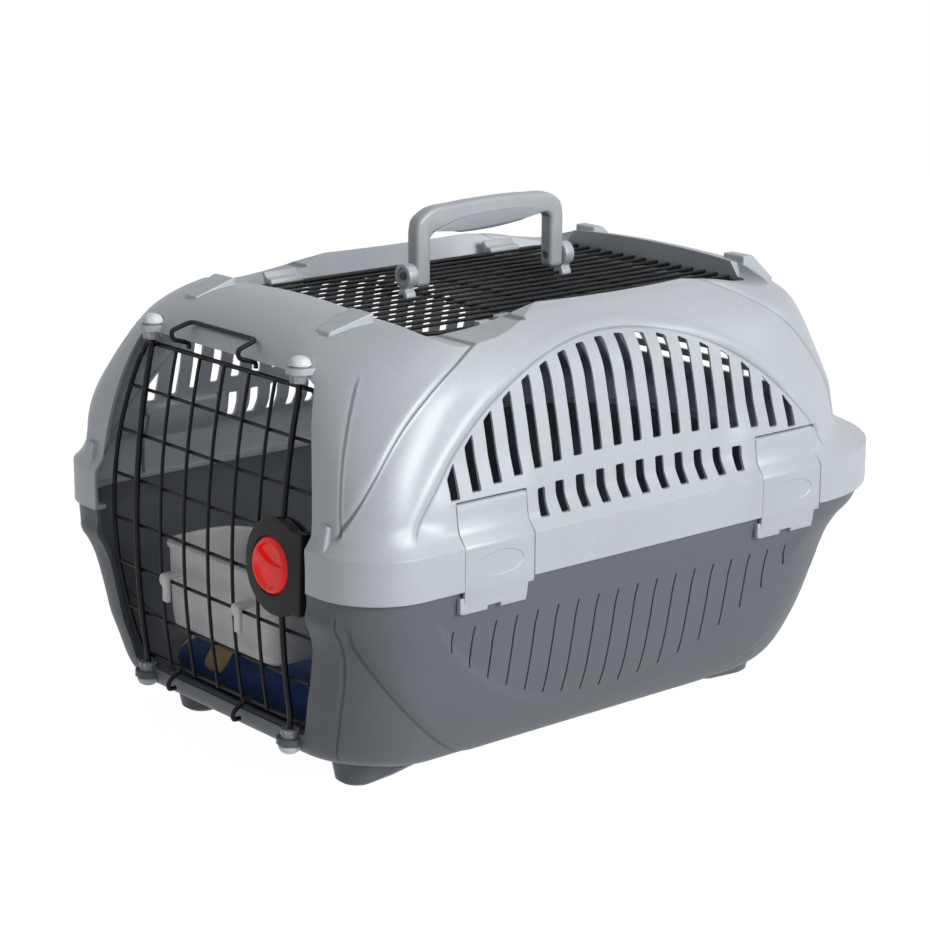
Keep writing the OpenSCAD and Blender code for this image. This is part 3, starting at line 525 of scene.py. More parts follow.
class Graph:
    """The node tree of one material, around one Principled shader."""

    def __init__(self, name: str, **constants: object) -> None:
        """Makes the material and sets the shader's own values.

        Args:
            name: Name of the material.
            constants: Values by socket name, with underscores for spaces.
        """
        self.material = bpy.data.materials.new(name)
        self.material.use_nodes = True
        self.tree = self.material.node_tree
        self.tree.nodes.clear()
        self.shader = self.tree.nodes.new("ShaderNodeBsdfPrincipled")
        output = self.tree.nodes.new("ShaderNodeOutputMaterial")
        self.tree.links.new(self.shader.outputs[0], output.inputs[0])
        for key, value in constants.items():
            self.shader.inputs[key.replace("_", " ")].default_value = value
        self.place = self.node("ShaderNodeTexCoord", out="Object")

    def node(self, kind: str, settings: dict[str, object] | None = None,
             inputs: dict[int | str, object] | None = None, out: int | str = 0) -> Signal:
        """Adds a node.

        Args:
            kind: Type of the node.
            settings: Its settings, which are set first.
            inputs: Values or signals of its sockets.
            out: The output that is wanted.

        Returns:
            That output.
        """
        node = self.tree.nodes.new(kind)
        for key, value in (settings or {}).items():
            setattr(node, key, value)
        for key, value in (inputs or {}).items():
            if isinstance(value, Signal):
                self.tree.links.new(value.socket, node.inputs[key])
            else:
                node.inputs[key].default_value = value
        return Signal(self, node.outputs[out])

    def noise(self, scale: float, detail: float = 2.0, warp: float = 0.0, offset: Point = (0, 0, 0)) -> Signal:
        """Soft noise.

        Args:
            scale: How many waves it has a metre.
            detail: How many finer octaves it has.
            warp: How far it is distorted.
            offset: Where its pattern starts.

        Returns:
            The noise, about 0.5.
        """
        where = self.node("ShaderNodeMapping", inputs={"Vector": self.place, "Location": tuple(offset)})
        return self.node("ShaderNodeTexNoise",
                         inputs={"Vector": where, "Scale": scale, "Detail": detail, "Distortion": warp})

    def mix(self, share: "Signal | float", first: object, second: object) -> Signal:
        """Mixes two colours."""
        return self.node("ShaderNodeMix", {"data_type": "RGBA"}, {0: share, 6: first, 7: second}, out=2)

    def feed(self, socket: str, signal: Signal) -> None:
        """Links a signal to one of the shader's sockets."""
        self.tree.links.new(signal.socket, self.shader.inputs[socket])

    def edges(self, radius: float) -> tuple[Signal, Signal]:
        """Rounded normals, and how much of an edge each point is.

        Args:
            radius: Radius of the rounding in millimetres.

        Returns:
            The normals and the edge mask.
        """
        soft = self.node("ShaderNodeBevel", {"samples": 6}, {"Radius": radius * MM})
        plain = self.node("ShaderNodeNewGeometry", out="Normal")
        same = self.node("ShaderNodeVectorMath", {"operation": "DOT_PRODUCT"}, {0: soft, 1: plain}, out="Value")
        return soft, (1 - same).band(0.01, 0.22)

    def axis(self, name: str) -> Signal:
        """One object coordinate in millimetres."""
        return self.node("ShaderNodeSeparateXYZ", inputs={0: self.place}, out=name) * 1000.0

    def circle(self, circle: Point) -> Signal:
        """Distance in millimetres from a circle in the side view, positive outside."""
        x, z = self.axis("X") - circle[0], self.axis("Z") - circle[1]
        return (x * x + z * z) ** 0.5 - circle[2]

    def jamb(self) -> Signal:
        """Distance in millimetres from the outer edge of the door's jamb, positive outside."""
        up = (self.axis("Z") - DOOR_MID.z) * (1 / HALF_H)
        return abs(self.axis("Y")) - ((1 - up * up) * SIDE_BOW + (CORNER_Y + JAMB_W))

    def bump(self, height: Signal, depth: float, normal: Signal | None = None) -> None:
        """Feeds a bump to the shader's normal.

        Args:
            height: Height of the bump, from 0 to 1.
            depth: Depth in millimetres at height 1.
            normal: The normal that it is added to, or None for the plain one.
        """
        inputs: dict[int | str, object] = {"Height": height, "Distance": depth * MM, "Strength": 1.0}
        if normal is not None:
            inputs["Normal"] = normal
        self.feed("Normal", self.node("ShaderNodeBump", inputs=inputs))


def line_mask(distance: Signal, width: float) -> Signal:
    """1 on a line and 0 beside it."""
    return 1 - abs(distance).band(width * 0.3, width)


def upper_shade_lines(g: Graph) -> Signal:
    """Painted shade lines of the upper shell, dark at the foot of its relief steps: the arch seams, the vent panel
    and the door jambs.

    Args:
        g: The material's graph.

    Returns:
        1 on a line and 0 elsewhere.
    """
    side = abs(g.axis("Y")).band(60, 90) * g.axis("Z").band(197, 203)
    split = g.axis("X") > FRONT_SEAM[0]
    front_seam = line_mask(g.circle((*FRONT_SEAM[:2], FRONT_SEAM[2] - 1.6)), 1.3) * 0.85
    rear_seam = line_mask(g.circle((*SEAM[:2], SEAM[2] - 1.6)), 1.1) * 0.35
    seam = front_seam * (1 - split) + rear_seam * split
    panel = line_mask(g.circle((*ARCH[:2], ARCH[2] - 1.0)), 1.3) * 0.4
    front = (0 - g.axis("X")).band(225, 232) * g.axis("Z").band(200, 204) * (1 - g.axis("Z").band(292, 304))
    return (seam + panel) * side + line_mask(g.jamb(), 1.1) * front * 0.7


def lower_shade_lines(g: Graph) -> Signal:
    """Painted shade lines of the tub, dark at the foot of its relief steps: its large arc and the door jambs.

    Args:
        g: The material's graph.

    Returns:
        1 on a line and 0 elsewhere.
    """
    side = abs(g.axis("Y")).band(90, 110) * (1 - g.axis("Z").band(134, 146))
    front = (0 - g.axis("X")).band(225, 232) * (1 - g.axis("Z").band(146, 150))
    arc = line_mask(g.circle((*TUB_ARC[:2], TUB_ARC[2] + 2.6)), 1.3)
    return arc * side * 0.6 + line_mask(g.jamb(), 1.1) * front * 0.7


@dataclass(frozen=True)
class MouldedPlastic:
    """Moulded plastic with a fine grain, a slight drift of tone and paler edges, partly rubbing and partly a painted
    edge highlight.
    """

    name: str
    colour: tuple[float, float, float, float]
    roughness: float = 0.38
    grain: float = 0.012
    edge: float = 0.9
    edge_wear_and_light: float = 0.35
    # How far edges turn paler: partly rubbing, partly a painted highlight on rounded edges.
    drift: float = 0.05
    specular: float = 0.5
    metal: float = 0.0
    # Painted shade lines along the relief steps, for the finishes that have them.
    shade_lines: Callable[[Graph], Signal] | None = None

    def build(self) -> bpy.types.Material:
        """Makes the material.

        Returns:
            The material.
        """
        g = Graph(self.name, Specular_IOR_Level=self.specular, Metallic=self.metal)
        soft, edge = g.edges(self.edge)
        wide = g.noise(9.0, 3)
        fine = g.noise(1500.0, 2)
        speck = g.noise(420.0, 2)
        darker = tuple(c * (1 - 2.2 * self.drift) for c in self.colour[:3]) + (1.0,)
        lighter = tuple(min(1.0, c * (1 + 2.2 * self.drift)) for c in self.colour[:3]) + (1.0,)
        body = g.mix((wide - 0.5) * 0.9 + (speck - 0.5) * 0.7 + 0.5, darker, lighter)
        # Paler edge colour: partly rubbing and partly a painted highlight where rounded edges catch the light.
        worn_and_lit_edge = tuple(min(1.0, c * 1.35 + 0.03) for c in self.colour[:3]) + (1.0,)
        skin = g.mix(edge * self.edge_wear_and_light, body, worn_and_lit_edge)
        # Painted shade: the colour darkens on lines where the relief steps down, standing in for the shade in those
        # steps.
        if self.shade_lines is not None:
            shade = tuple(c * 0.22 for c in self.colour[:3]) + (1.0,)
            skin = g.mix(self.shade_lines(g), skin, shade)
        g.feed("Base Color", skin)
        g.feed("Roughness", (speck - 0.5) * 0.16 + (wide - 0.5) * 0.08 - edge * 0.06 + self.roughness)
        g.bump(fine + speck * 0.6, self.grain, soft)
        return g.material


@dataclass(frozen=True)
class CoatedWire:
    """Steel wire under a thin dark coating that pools and thins a little."""

    name: str
    colour: tuple[float, float, float, float] = tone(15, 15, 17)
    roughness: float = 0.46

    def build(self) -> bpy.types.Material:
        """Makes the material.

        Returns:
            The material.
        """
        g = Graph(self.name, Specular_IOR_Level=0.22)
        pool = g.noise(120.0, 3)
        pit = g.noise(900.0, 2)
        thin = tuple(c * 1.9 + 0.004 for c in self.colour[:3]) + (1.0,)
        g.feed("Base Color", g.mix(pool.band(0.45, 0.75), self.colour, thin))
        g.feed("Roughness", (pool - 0.5) * 0.3 + self.roughness)
        g.bump(pit + pool * 0.8, 0.02)
        return g.material


@dataclass(frozen=True)
class GlossPlastic:
    """Shiny, slightly see-through plastic of the knob, with a faint painted glow in its own red and painted
    highlights on its edges.
    """

    name: str
    colour: tuple[float, float, float, float]

    def build(self) -> bpy.types.Material:
        """Makes the material.

        Returns:
            The material.
        """
        # The faint emission in the knob's own red is a painted glow; the knob is no lamp.
        g = Graph(self.name, Specular_IOR_Level=0.25, Coat_Weight=0.1, Coat_Roughness=0.15,
                  Emission_Color=self.colour, Emission_Strength=0.22)
        soft, edge = g.edges(0.7)
        flow = g.noise(60.0, 2)
        # Brighter red on the edges is a painted highlight.
        bright = tuple(min(1.0, c * 1.5 + 0.05) for c in self.colour[:3]) + (1.0,)
        deep = tuple(c * 0.75 for c in self.colour[:3]) + (1.0,)
        g.feed("Base Color", g.mix(edge * 0.7, g.mix(flow.band(0.3, 0.7), deep, self.colour), bright))
        g.feed("Roughness", (flow - 0.5) * 0.12 + 0.2)
        g.bump(g.noise(300.0, 2), 0.01, soft)
        return g.material


@dataclass(frozen=True)
class ClearPlastic:
    """Milky plastic of the caps and bushes, paler where it clouds and, as a painted highlight, on its edges."""

    name: str
    colour: tuple[float, float, float, float]
    clear: float

    def build(self) -> bpy.types.Material:
        """Makes the material.

        Returns:
            The material.
        """
        g = Graph(self.name, Transmission_Weight=self.clear, IOR=1.45)
        soft, edge = g.edges(0.6)
        cloud = g.noise(160.0, 3)
        # Paler colour where the cloud noise is high, and on the edges as a painted highlight.
        milk_and_edge_light = tuple(min(1.0, c * 1.12) for c in self.colour[:3]) + (1.0,)
        g.feed("Base Color", g.mix(cloud * 0.6 + edge * 0.4, self.colour, milk_and_edge_light))
        g.feed("Roughness", cloud * 0.2 + 0.16)
        g.bump(g.noise(500.0, 2), 0.015, soft)
        return g.material


@dataclass(frozen=True)
class PatchedCloth:
    """Woven cotton with loose patches of three colours."""

    name: str
    ground: tuple[float, float, float, float]
    pale: tuple[float, float, float, float]
    warm: tuple[float, float, float, float]

    def build(self) -> bpy.types.Material:
        """Makes the material.

        Returns:
            The material.
        """
        g = Graph(self.name, Specular_IOR_Level=0.2, Sheen_Weight=0.25, Sheen_Roughness=0.5)
        first = g.noise(17.0, 1.0, 0.8, (0.31, 0.12, 0.4)).band(0.6, 0.61)
        second = g.noise(12.0, 1.0, 0.6, (1.7, 0.63, 0.2)).band(0.575, 0.585)
        across = g.node("ShaderNodeTexWave", {"bands_direction": "X"}, {"Vector": g.place, "Scale": 210.0})
        along = g.node("ShaderNodeTexWave", {"bands_direction": "Y"}, {"Vector": g.place, "Scale": 210.0})
        weave = across * along
        fluff = g.noise(700.0, 3)
        cloth = g.mix(second, g.mix(first, self.ground, self.pale), self.warm)
        shade = g.mix((weave * 0.5 + fluff * 0.5).band(0.1, 0.75), (0.82, 0.82, 0.82, 1), (1.06, 1.06, 1.06, 1))
        g.feed("Base Color", g.node("ShaderNodeMix", {"data_type": "RGBA", "blend_type": "MULTIPLY"},
                                    {0: 1.0, 6: cloth, 7: shade}, out=2))
        g.feed("Roughness", fluff * 0.12 + 0.82)
        g.bump(weave + fluff * 0.7, 0.16)
        return g.material


FINISHES: dict[str, bpy.types.Material] = {
    slot: maker.build() for slot, maker in {
        "upper_plastic": MouldedPlastic("silver_grey_part", tone(188, 194, 200), 0.46, metal=0.2, specular=0.4),
        "upper_shell": MouldedPlastic("silver_grey_shell", tone(188, 194, 200), 0.46, metal=0.2, specular=0.4,
                                      shade_lines=upper_shade_lines),
        "lower_shell": MouldedPlastic("dark_grey_tub_shell", tone(103, 108, 114), 0.5, edge_wear_and_light=0.2, metal=0.05,
                                      specular=0.35, shade_lines=lower_shade_lines),
        "lower_plastic": MouldedPlastic("dark_grey_tub", tone(106, 111, 117), 0.5, edge_wear_and_light=0.2, metal=0.05,
                                        specular=0.35),
        "handle_plastic": MouldedPlastic("grey_handle", tone(176, 181, 186), 0.42, edge_wear_and_light=0.5, edge=1.2, metal=0.15),
        "grip_plastic": MouldedPlastic("grey_grip", tone(164, 170, 177), 0.45, grain=0.03),
        "black_wire": CoatedWire("black_wire"),
        "rod_wire": CoatedWire("black_rod", tone(17, 17, 19), 0.42),
        "lock_black": MouldedPlastic("matt_black_lock", tone(33, 33, 34), 0.6, edge_wear_and_light=0.1, grain=0.03, specular=0.25),
        "knob_red": GlossPlastic("red_knob", tone(255, 30, 16)),
        "cam_plastic": MouldedPlastic("dark_cam", tone(60, 62, 66), 0.5),
        "bush_plastic": ClearPlastic("clear_bush", tone(214, 220, 224), 0.6),
        "cap_plastic": ClearPlastic("milky_cap", tone(244, 246, 247), 0.0),
        # Painted light: the bowl's and cushion's tones are lifted above their own colours to make up for the shade
        # inside the carrier.
        "bowl_plastic": MouldedPlastic("pale_bowl", tone(246, 248, 250), 0.4, edge_wear_and_light=0.25),
        "cushion_fabric": PatchedCloth("patched_cotton", tone(60, 96, 164), tone(244, 238, 220), tone(246, 208, 160)),
        "pin_plastic": MouldedPlastic("grey_pin", tone(104, 114, 118), 0.3),
    }.items()}

PLACED: list[str] = []


def finish(obj: bpy.types.Object, name: str, body: str, slot: str, *nodes: str, look: str = "") -> bpy.types.Object:
    """Names a finished piece, gives it its material and puts it on its body.

    Args:
        obj: The piece, in place.
        name: Its name.
        body: The body that it moves with.
        slot: The material slot that it takes its finish from.
        nodes: The CAD nodes that it stands for.
        look: Its own finish, where it has one.

    Returns:
        The piece.
    """
    obj.name = name
    obj.data.name = name
    obj.data.materials.clear()
    obj.data.materials.append(FINISHES[look or slot])
    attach(obj, body)
    if nodes:
        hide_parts(*nodes)
    PLACED.extend(nodes)
    LOG.info("%s on %s: %d faces", name, body, len(obj.data.polygons))
    return obj


# ---- rings of the shells -------------------------------------------------------------------------


@dataclass(frozen=True)
class RingCounts:
    """How many points a shell's ring has on each stretch."""

    corner: int = 40
    side: int = 230
    front: int = 96
    rear: int = 30


COARSE = RingCounts(12, 60, 16, 12)


def ring(level: Point, count: RingCounts) -> tuple[np.ndarray, np.ndarray]:
    """One level of a shell.

    Args:
        level: Height, front x, rear x, half width, front radius and rear radius.
        count: How many points each stretch has.

    Returns:
        The points, and their outward directions in plan.
    """
    z, x0, x1, w, rf, rr = level
    points: list[tuple[float, float]] = []
    outs: list[tuple[float, float]] = []

    def bend(cx: float, cy: float, r: float, start: float) -> None:
        """Adds a quarter circle.

        Args:
            cx: Its centre's x.
            cy: Its centre's y.
            r: Its radius.
            start: The angle where it starts.
        """
        for i in range(count.corner):
            a = math.radians(start + 90 * i / count.corner)
            points.append((cx + r * math.cos(a), cy + r * math.sin(a)))
            outs.append((math.cos(a), math.sin(a)))

    def line(a: tuple[float, float], b: tuple[float, float], n: int, out: tuple[float, float]) -> None:
        """Adds a straight stretch.

        Args:
            a: Its start.
            b: Its end.
            n: How many points it has.
            out: Its outward direction.
        """
        for i in range(n):
            points.append((a[0] + (b[0] - a[0]) * i / n, a[1] + (b[1] - a[1]) * i / n))
            outs.append(out)

    bend(x1 - rr, w - rr, rr, 0)
    line((x1 - rr, w), (x0 + rf, w), count.side, (0, 1))
    bend(x0 + rf, w - rf, rf, 90)
    line((x0, w - rf), (x0, rf - w), count.front, (-1, 0))
    bend(x0 + rf, rf - w, rf, 180)
    line((x0 + rf, -w), (x1 - rr, -w), count.side, (0, -1))
    bend(x1 - rr, rr - w, rr, 270)
    line((x1, rr - w), (x1, w - rr), count.rear, (1, 0))
    flat = np.array(points)
    return np.column_stack([flat, np.full(len(flat), z)]), np.array(outs)


def inset(level: Point, depth: float, rise: float = 0) -> list[float]:
    """The same level moved inwards and up."""
    z, x0, x1, w, rf, rr = level
    return [z + rise, x0 + depth, x1 - depth, w - depth, rf - depth / 2, rr - depth / 2]


Relief = Callable[[np.ndarray, np.ndarray], np.ndarray]


def jamb_relief(points: np.ndarray, outs: np.ndarray) -> np.ndarray:
    """How far the door's jambs stand out of the front face.

    Args:
        points: Places on the face.
        outs: Their outward directions in plan.

    Returns:
        The distances in millimetres.
    """
    _, y, z = points.T
    edge = CORNER_Y + JAMB_W + SIDE_BOW * (1 - ((z - DOOR_MID.z) / HALF_H) ** 2)
    return 1.5 * ramp(-outs[:, 0], 0.25, 0.5) * (1 - ramp(np.abs(y) - edge, -1.8, 1.2))


def shell_solid(name: str, levels: Sequence[Point], corners: Sequence[int], step: float, count: RingCounts,
                relief: Relief | None = None, share: float = 1.0) -> bpy.types.Object:
    """A closed solid through smoothed levels.

    Args:
        name: The object's name.
        levels: The levels, upwards.
        corners: Numbers of the levels that keep a sharp edge.
        step: Distance of the smoothed levels.
        count: How many points each stretch of a ring has.
        relief: Moves points outwards, from their places and outward directions.
        share: How much of the relief is used.

    Returns:
        The solid.
    """
    rings = []
    for level in flowing(levels, step, corners):
        points, outs = ring(level, count)
        if relief is not None:
            points = points + share * relief(points, outs)
        rings.append(points)
    return loft(name, rings)


# ---- upper shell ---------------------------------------------------------------------------------


def door_matrix() -> Matrix:
    """From the door's own frame, whose z runs up the door, to the carrier's."""
    return Matrix.Translation(DOOR_MID) @ Matrix.Rotation(DOOR_TILT, 4, "Y")


def door_x(z: float) -> float:
    """Bulge of the door's surface at height z above its middle."""
    return ARC_R - BULGE - math.sqrt(ARC_R * ARC_R - z * z)


def side_y(z: float) -> float:
    """Distance of the door's side wires from its middle at that height."""
    return CORNER_Y + SIDE_BOW * (1 - (z / HALF_H) ** 2)


def bush_axis(end: int, side: int, depth: float) -> Vector:
    """A point on the axis of a bush.

    Args:
        end: 1 for the top, -1 for the bottom.
        side: 1 for the hinge, -1 for the lock.
        depth: Distance from the middle of the door.

    Returns:
        The point.
    """
    x = ROD_X if side > 0 else LOCK_ROD_X
    return door_matrix() @ Vector((x, side * ROD_Y, end * depth))


def door_gap() -> bpy.types.Object:
    """The door opening through both shells.

    Returns:
        The cutter.
    """
    reach = 4.0
    side = [(side_y(z) + reach, DOOR_MID.z + z) for z in np.linspace(-HALF_H - 5, HALF_H + 5, 37)]
    sill, head = DOOR_MID.z - HALF_H - 7, DOOR_MID.z + HALF_H + 10
    outline = [(CORNER_Y - 8, sill), *side, (CORNER_Y - 8, head), (8 - CORNER_Y, head)]
    outline += [(-y, z) for y, z in reversed(side)] + [(8 - CORNER_Y, sill)]
    return plate("door_gap", outline, Way.X, -HALF_L - 10, -HALF_L + 60)


def bush_cutters(end: int) -> list[bpy.types.Object]:
    """Cutters for the bushes and caps.

    Args:
        end: 1 for the top of the door, -1 for the bottom.

    Returns:
        The cutters.
    """
    found = []
    for side in (-1, 1):
        for radius, low, high in ((6.52, BUSH_IN - 2, BUSH_OUT + 4), (8.3, BUSH_OUT + 0.1, BUSH_OUT + 14),
                                  (8.0, HALF_H - 4, HALF_H + 8)):
            found.append(rod("bush_cut", bush_axis(end, side, low), bush_axis(end, side, high), radius))
    return found


def ears(end: int, depth: float) -> list[bpy.types.Object]:
    """The ears that hold the bushes.

    Args:
        end: 1 for the top, -1 for the bottom.
        depth: How far an ear runs back into its shell.

    Returns:
        The solids.
    """
    found = []
    for side in (-1, 1):
        low, high = BUSH_IN + 6, BUSH_OUT - 1
        found.append(rod("ear", bush_axis(end, side, low), bush_axis(end, side, high), 9.5))
        root = block("ear_root", (0, -9.5, min(end * low, end * high)), (depth, 9.5, max(end * low, end * high)))
        at = Matrix.Translation((ROD_X if side > 0 else LOCK_ROD_X, side * ROD_Y, 0))
        found.append(moved(root, door_matrix() @ at))
    return found


@dataclass
class UpperShell:
    """The upper shell, with its arched vents, roof opening, humps and clip pockets."""

    levels: list[list[float]] = field(default_factory=lambda: [
        [RIM_Z, -HALF_L, HALF_L, HALF_W, 50, 119],
        [CREASE_Z, -HALF_L, HALF_L, HALF_W, 50, 119],
        [CREASE_Z + 4, -HALF_L + 3.0, HALF_L - 8, HALF_W - 3.3, 49, 118],
        [CREASE_Z + 9, -HALF_L + 6.6, HALF_L - 20, HALF_W - 6.8, 45, 112],
        [CREASE_Z + 16, FACE_X, HALF_L - 33, HALF_W - 8.4, 42, 107],
        [CREASE_Z + 28, FACE_X + 1.5, HALF_L - 37, HALF_W - 9.8, 41, 106],
        [ROOF_Z - 92, FACE_X + 5, HALF_L - 40, HALF_W - 13.5, 46, 108],
        [ROOF_Z - 62, FACE_X + 11.5, HALF_L - 50, HALF_W - 20, 64, 110],
        [ROOF_Z - 42, FACE_X + 18, HALF_L - 62, HALF_W - 25.5, 78, 102],
        [ROOF_Z - 29, FACE_X + 22, HALF_L - 72, HALF_W - 33, 86, 92],
        [ROOF_Z - 19, FACE_X + 32, HALF_L - 84, HALF_W - 44, 84, 84],
        [ROOF_Z - 10, FACE_X + 53, HALF_L - 100, HALF_W - 57, 76, 76],
        [ROOF_Z - 5, FACE_X + 100, HALF_L - 136, HALF_W - 66, 60, 60],
        [ROOF_Z, FACE_X + 150, HALF_L - 190, HALF_W - 74, 44, 44]])
    seat_w: float = 9.0
    arch: tuple[float, float, float] = ARCH
    slot_w: float = 8.0
    low_n: int = 11
    ledge_w: float = 8.0
    rear_slant: float = 0.75

    def relief(self, points: np.ndarray, outs: np.ndarray) -> np.ndarray:
        """Moves of the outer skin: the seam's step, the sunk vent panel with its bead and the crowned roof ends.

        Args:
            points: Places on the skin.
            outs: Their outward directions in plan.

        Returns:
            The moves, one row each.
        """
        x, y, z = points.T
        side = ramp(np.abs(outs[:, 1]), 0.2, 0.7) * ramp(z, CREASE_Z + 7, CREASE_Z + 20)
        for clip_x in CLIP_X:
            side = side * (1 - (1 - ramp(np.abs(x - clip_x), 34, 62)) * (1 - ramp(z, PIVOT_Z, PIVOT_Z + 34)))
        front, rear = FRONT_SEAM, SEAM
        seam = np.where(x < front[0], np.hypot(x - front[0], z - front[1]) - front[2],
                        np.hypot(x - rear[0], z - rear[1]) - rear[2])
        arch = np.hypot(x - self.arch[0], z - self.arch[1]) - self.arch[2]
        step = -2.4 * (1 - ramp(seam, -2.2, 1.6)) + 0.5 * np.exp(-(((seam - 3.4) / 3.0) ** 2))
        sunk = -1.6 * (1 - ramp(arch, -1.8, 1.8))
        bead = 0.9 * np.exp(-(((arch - 4.6) / 2.8) ** 2))
        jamb = jamb_relief(points, outs) * ramp(z, 196, 204) * (1 - ramp(z, 292, 304))
        out = side * (step + sunk + bead) + jamb
        moves = np.column_stack([outs[:, 0] * out, outs[:, 1] * out, np.zeros(len(x))])
        crown = 4.4 * np.clip(1 - (y / 80) ** 2, 0, 1) * ramp(-x, 120, 190) * ramp(z, 306, 326)
        moves[:, 2] += crown * ramp(-x, 0, 60)
        back = np.clip(1 - (y / 108) ** 2, 0, 1) * ramp(x, 110, 150) * (1 - ramp(x, 168, 196))
        moves[:, 2] += 4.6 * back * ramp(z, 308, 322)
        return moves

    def inner_levels(self) -> list[list[float]]:
        """Levels of the cavity, with the seat at its foot.

        Returns:
            The levels, upwards.
        """
        foot = [inset(self.levels[0], self.seat_w, -1), inset(self.levels[0], self.seat_w, 3),
                inset(self.levels[0], WALL, 3.2)]
        return foot + [inset(s, WALL, -WALL if i > 8 else 0) for i, s in enumerate(self.levels) if i]

    def opening_outline(self, out: float, lean: float) -> np.ndarray:
        """Outline of the roof opening.

        Args:
            out: How far it is moved out.
            lean: How far its sides have leaned out at this height.

        Returns:
            Points in plan.
        """
        h = LID_HALF + out + lean
        side = [(LID_X0 - out, FRONT_HALF + out / 2 + lean / 2),
                (LID_X0 + 17 - 0.6 * out, h - 14 + 0.3 * (out + lean)), (LID_X0 + 30 - 0.2 * out, h - 2.5),
                (LID_X0 + 50, h), (LID_X1 - 18, h), (LID_X1 - 4 + 0.7 * out, h - 2.5 + 0.1 * lean),
                (LID_X1 + out, h - 7 + 0.3 * lean)]
        loop = [(x, -y) for x, y in side] + list(reversed(side))
        return flowing(loop, 4, (0, 6, 7, 13), closed=True)

    def funnel(self, out: float, z0: float, z1: float) -> bpy.types.Object:
        """Space of the roof opening between its leaning rails.

        Args:
            out: How far it is moved out.
            z0: Its lower end.
            z1: Its upper end.

        Returns:
            The solid.
        """
        rings = []
        for z in (z0, z1):
            lean = RAIL_LEAN * (z - LEDGE_Z) / (ROOF_Z - LEDGE_Z)
            flat = self.opening_outline(out, lean)
            rings.append(flat)
        n = min(len(r) for r in rings)
        rings = [r[np.linspace(0, len(r) - 1, n).round().astype(int)] for r in rings]
        return loft("funnel", [np.column_stack([r, np.full(n, z)]) for r, z in zip(rings, (z0, z1))])

    def shoulders(self, drop: float, y0: float, y1: float) -> list[bpy.types.Object]:
        """Space over the rails' low ends, moved down.

        Args:
            drop: How far it is moved, upwards if positive.
            y0: Where the front space begins.
            y1: Where the rear space begins.

        Returns:
            The four solids.
        """
        front = [(LID_X0 - 6, ROOF_Z + 12), (LID_X0 + 0.5, ROOF_Z - 6), (LID_X0 + 18, DIP_Z + 0.6),
                 (LID_X0 + 50, DIP_Z - 0.4), (LID_X0 + 82, DIP_Z + 5), (LID_X0 + 108, ROOF_Z - 4.6),
                 (LID_X0 + 140, ROOF_Z + 2)]
        rear = [(LID_X1 - 140, ROOF_Z + 2), (LID_X1 - 98, ROOF_Z - 2), (LID_X1 - 48, ROOF_Z - 9),
                (LID_X1 - 12, DIP_Z + 2), (LID_X1 + 1, DIP_Z + 1.5), (LID_X1 + 8, ROOF_Z + 12)]
        found = []
        for points, start, top in ((front, y0, (LID_X0 + 140, ROOF_Z + 12)), (rear, y1, (LID_X1 - 140, ROOF_Z + 12))):
            line = [tuple(p) for p in flowing(points, 4)]
            line = line + [top] if points is front else [top] + line
            line = [(x, z + drop) for x, z in line]
            for side in (-1, 1):
                space = plate("shoulder", line, Way.Y, side * start, side * HALF_W)
                for vertex in space.data.vertices:
                    if points is rear and abs(vertex.co.y) < (start + 1) * MM:
                        vertex.co.y -= side * self.rear_slant * (vertex.co.z - (DIP_Z + drop) * MM)
                found.append(space)
        return found

    def humps(self) -> list[bpy.types.Object]:
        """The four wedge humps at the corners of the roof opening.

        Returns:
            The humps.
        """
        found = []
        for side in (-1, 1):
            front, rear = LID_X0 - 9, LID_X1 + 8
            y, tip = side * (FRONT_HALF + 4), side * (FRONT_HALF + 2)
            corners = [(front + a, y + b, ROOF_Z - 20 + c) for a in (0, 3) for b in (-12, 12) for c in (0, 19.4)]
            corners += [(front - 30 + a, tip + b, ROOF_Z - 30 + c)
                        for a in (0, 3) for b in (-7, 7) for c in (0, 19.0)]
            found.append(self.wrapped(corners, 1.4))
            y = side * (LID_HALF - 25)
            corners = [(rear + a, y + b, ROOF_Z - 26 + c) for a in (0, 10) for b in (-11, 11) for c in (0, 24.5)]
            corners += [(rear + 32 + a, y + b, ROOF_Z - 40 + c) for a in (0, 3) for b in (-9, 9) for c in (0, 18)]
            found.append(self.wrapped(corners, 7.0))
        return found

    def wrapped(self, corners: Sequence[Point], radius: float) -> bpy.types.Object:
        """The smallest solid round some points, with rounded edges.

        Args:
            corners: The points.
            radius: Radius of the edges.

        Returns:
            The solid.
        """
        obj = mesh_piece("hump", corners, [])
        with editing(obj):
            bpy.ops.mesh.convex_hull()
        return rounded(turn_out(obj), radius, 5, 20)

    def vent_cutters(self) -> bpy.types.Object:
        """All side slots.

        Returns:
            One cutter.
        """
        found = []
        half = VENT_PITCH * (VENT_N - 1) / 2
        radius = (half * half + 67 * 67) / (2 * 67)

        def base(x: float, z: float) -> float:
            """Lower end of a slot, which falls towards both ends of the row.

            Args:
                x: Place of the slot.
                z: Height of the row's middle.

            Returns:
                The height.
            """
            return z - 14 * ((x - VENT_X) / (VENT_PITCH * VENT_N / 2)) ** 2

        def arch(x: float) -> float:
            """Upper end of a slot at x."""
            return ROOF_Z - 26 - radius + math.sqrt(max(0, radius * radius - (x - VENT_X) ** 2))

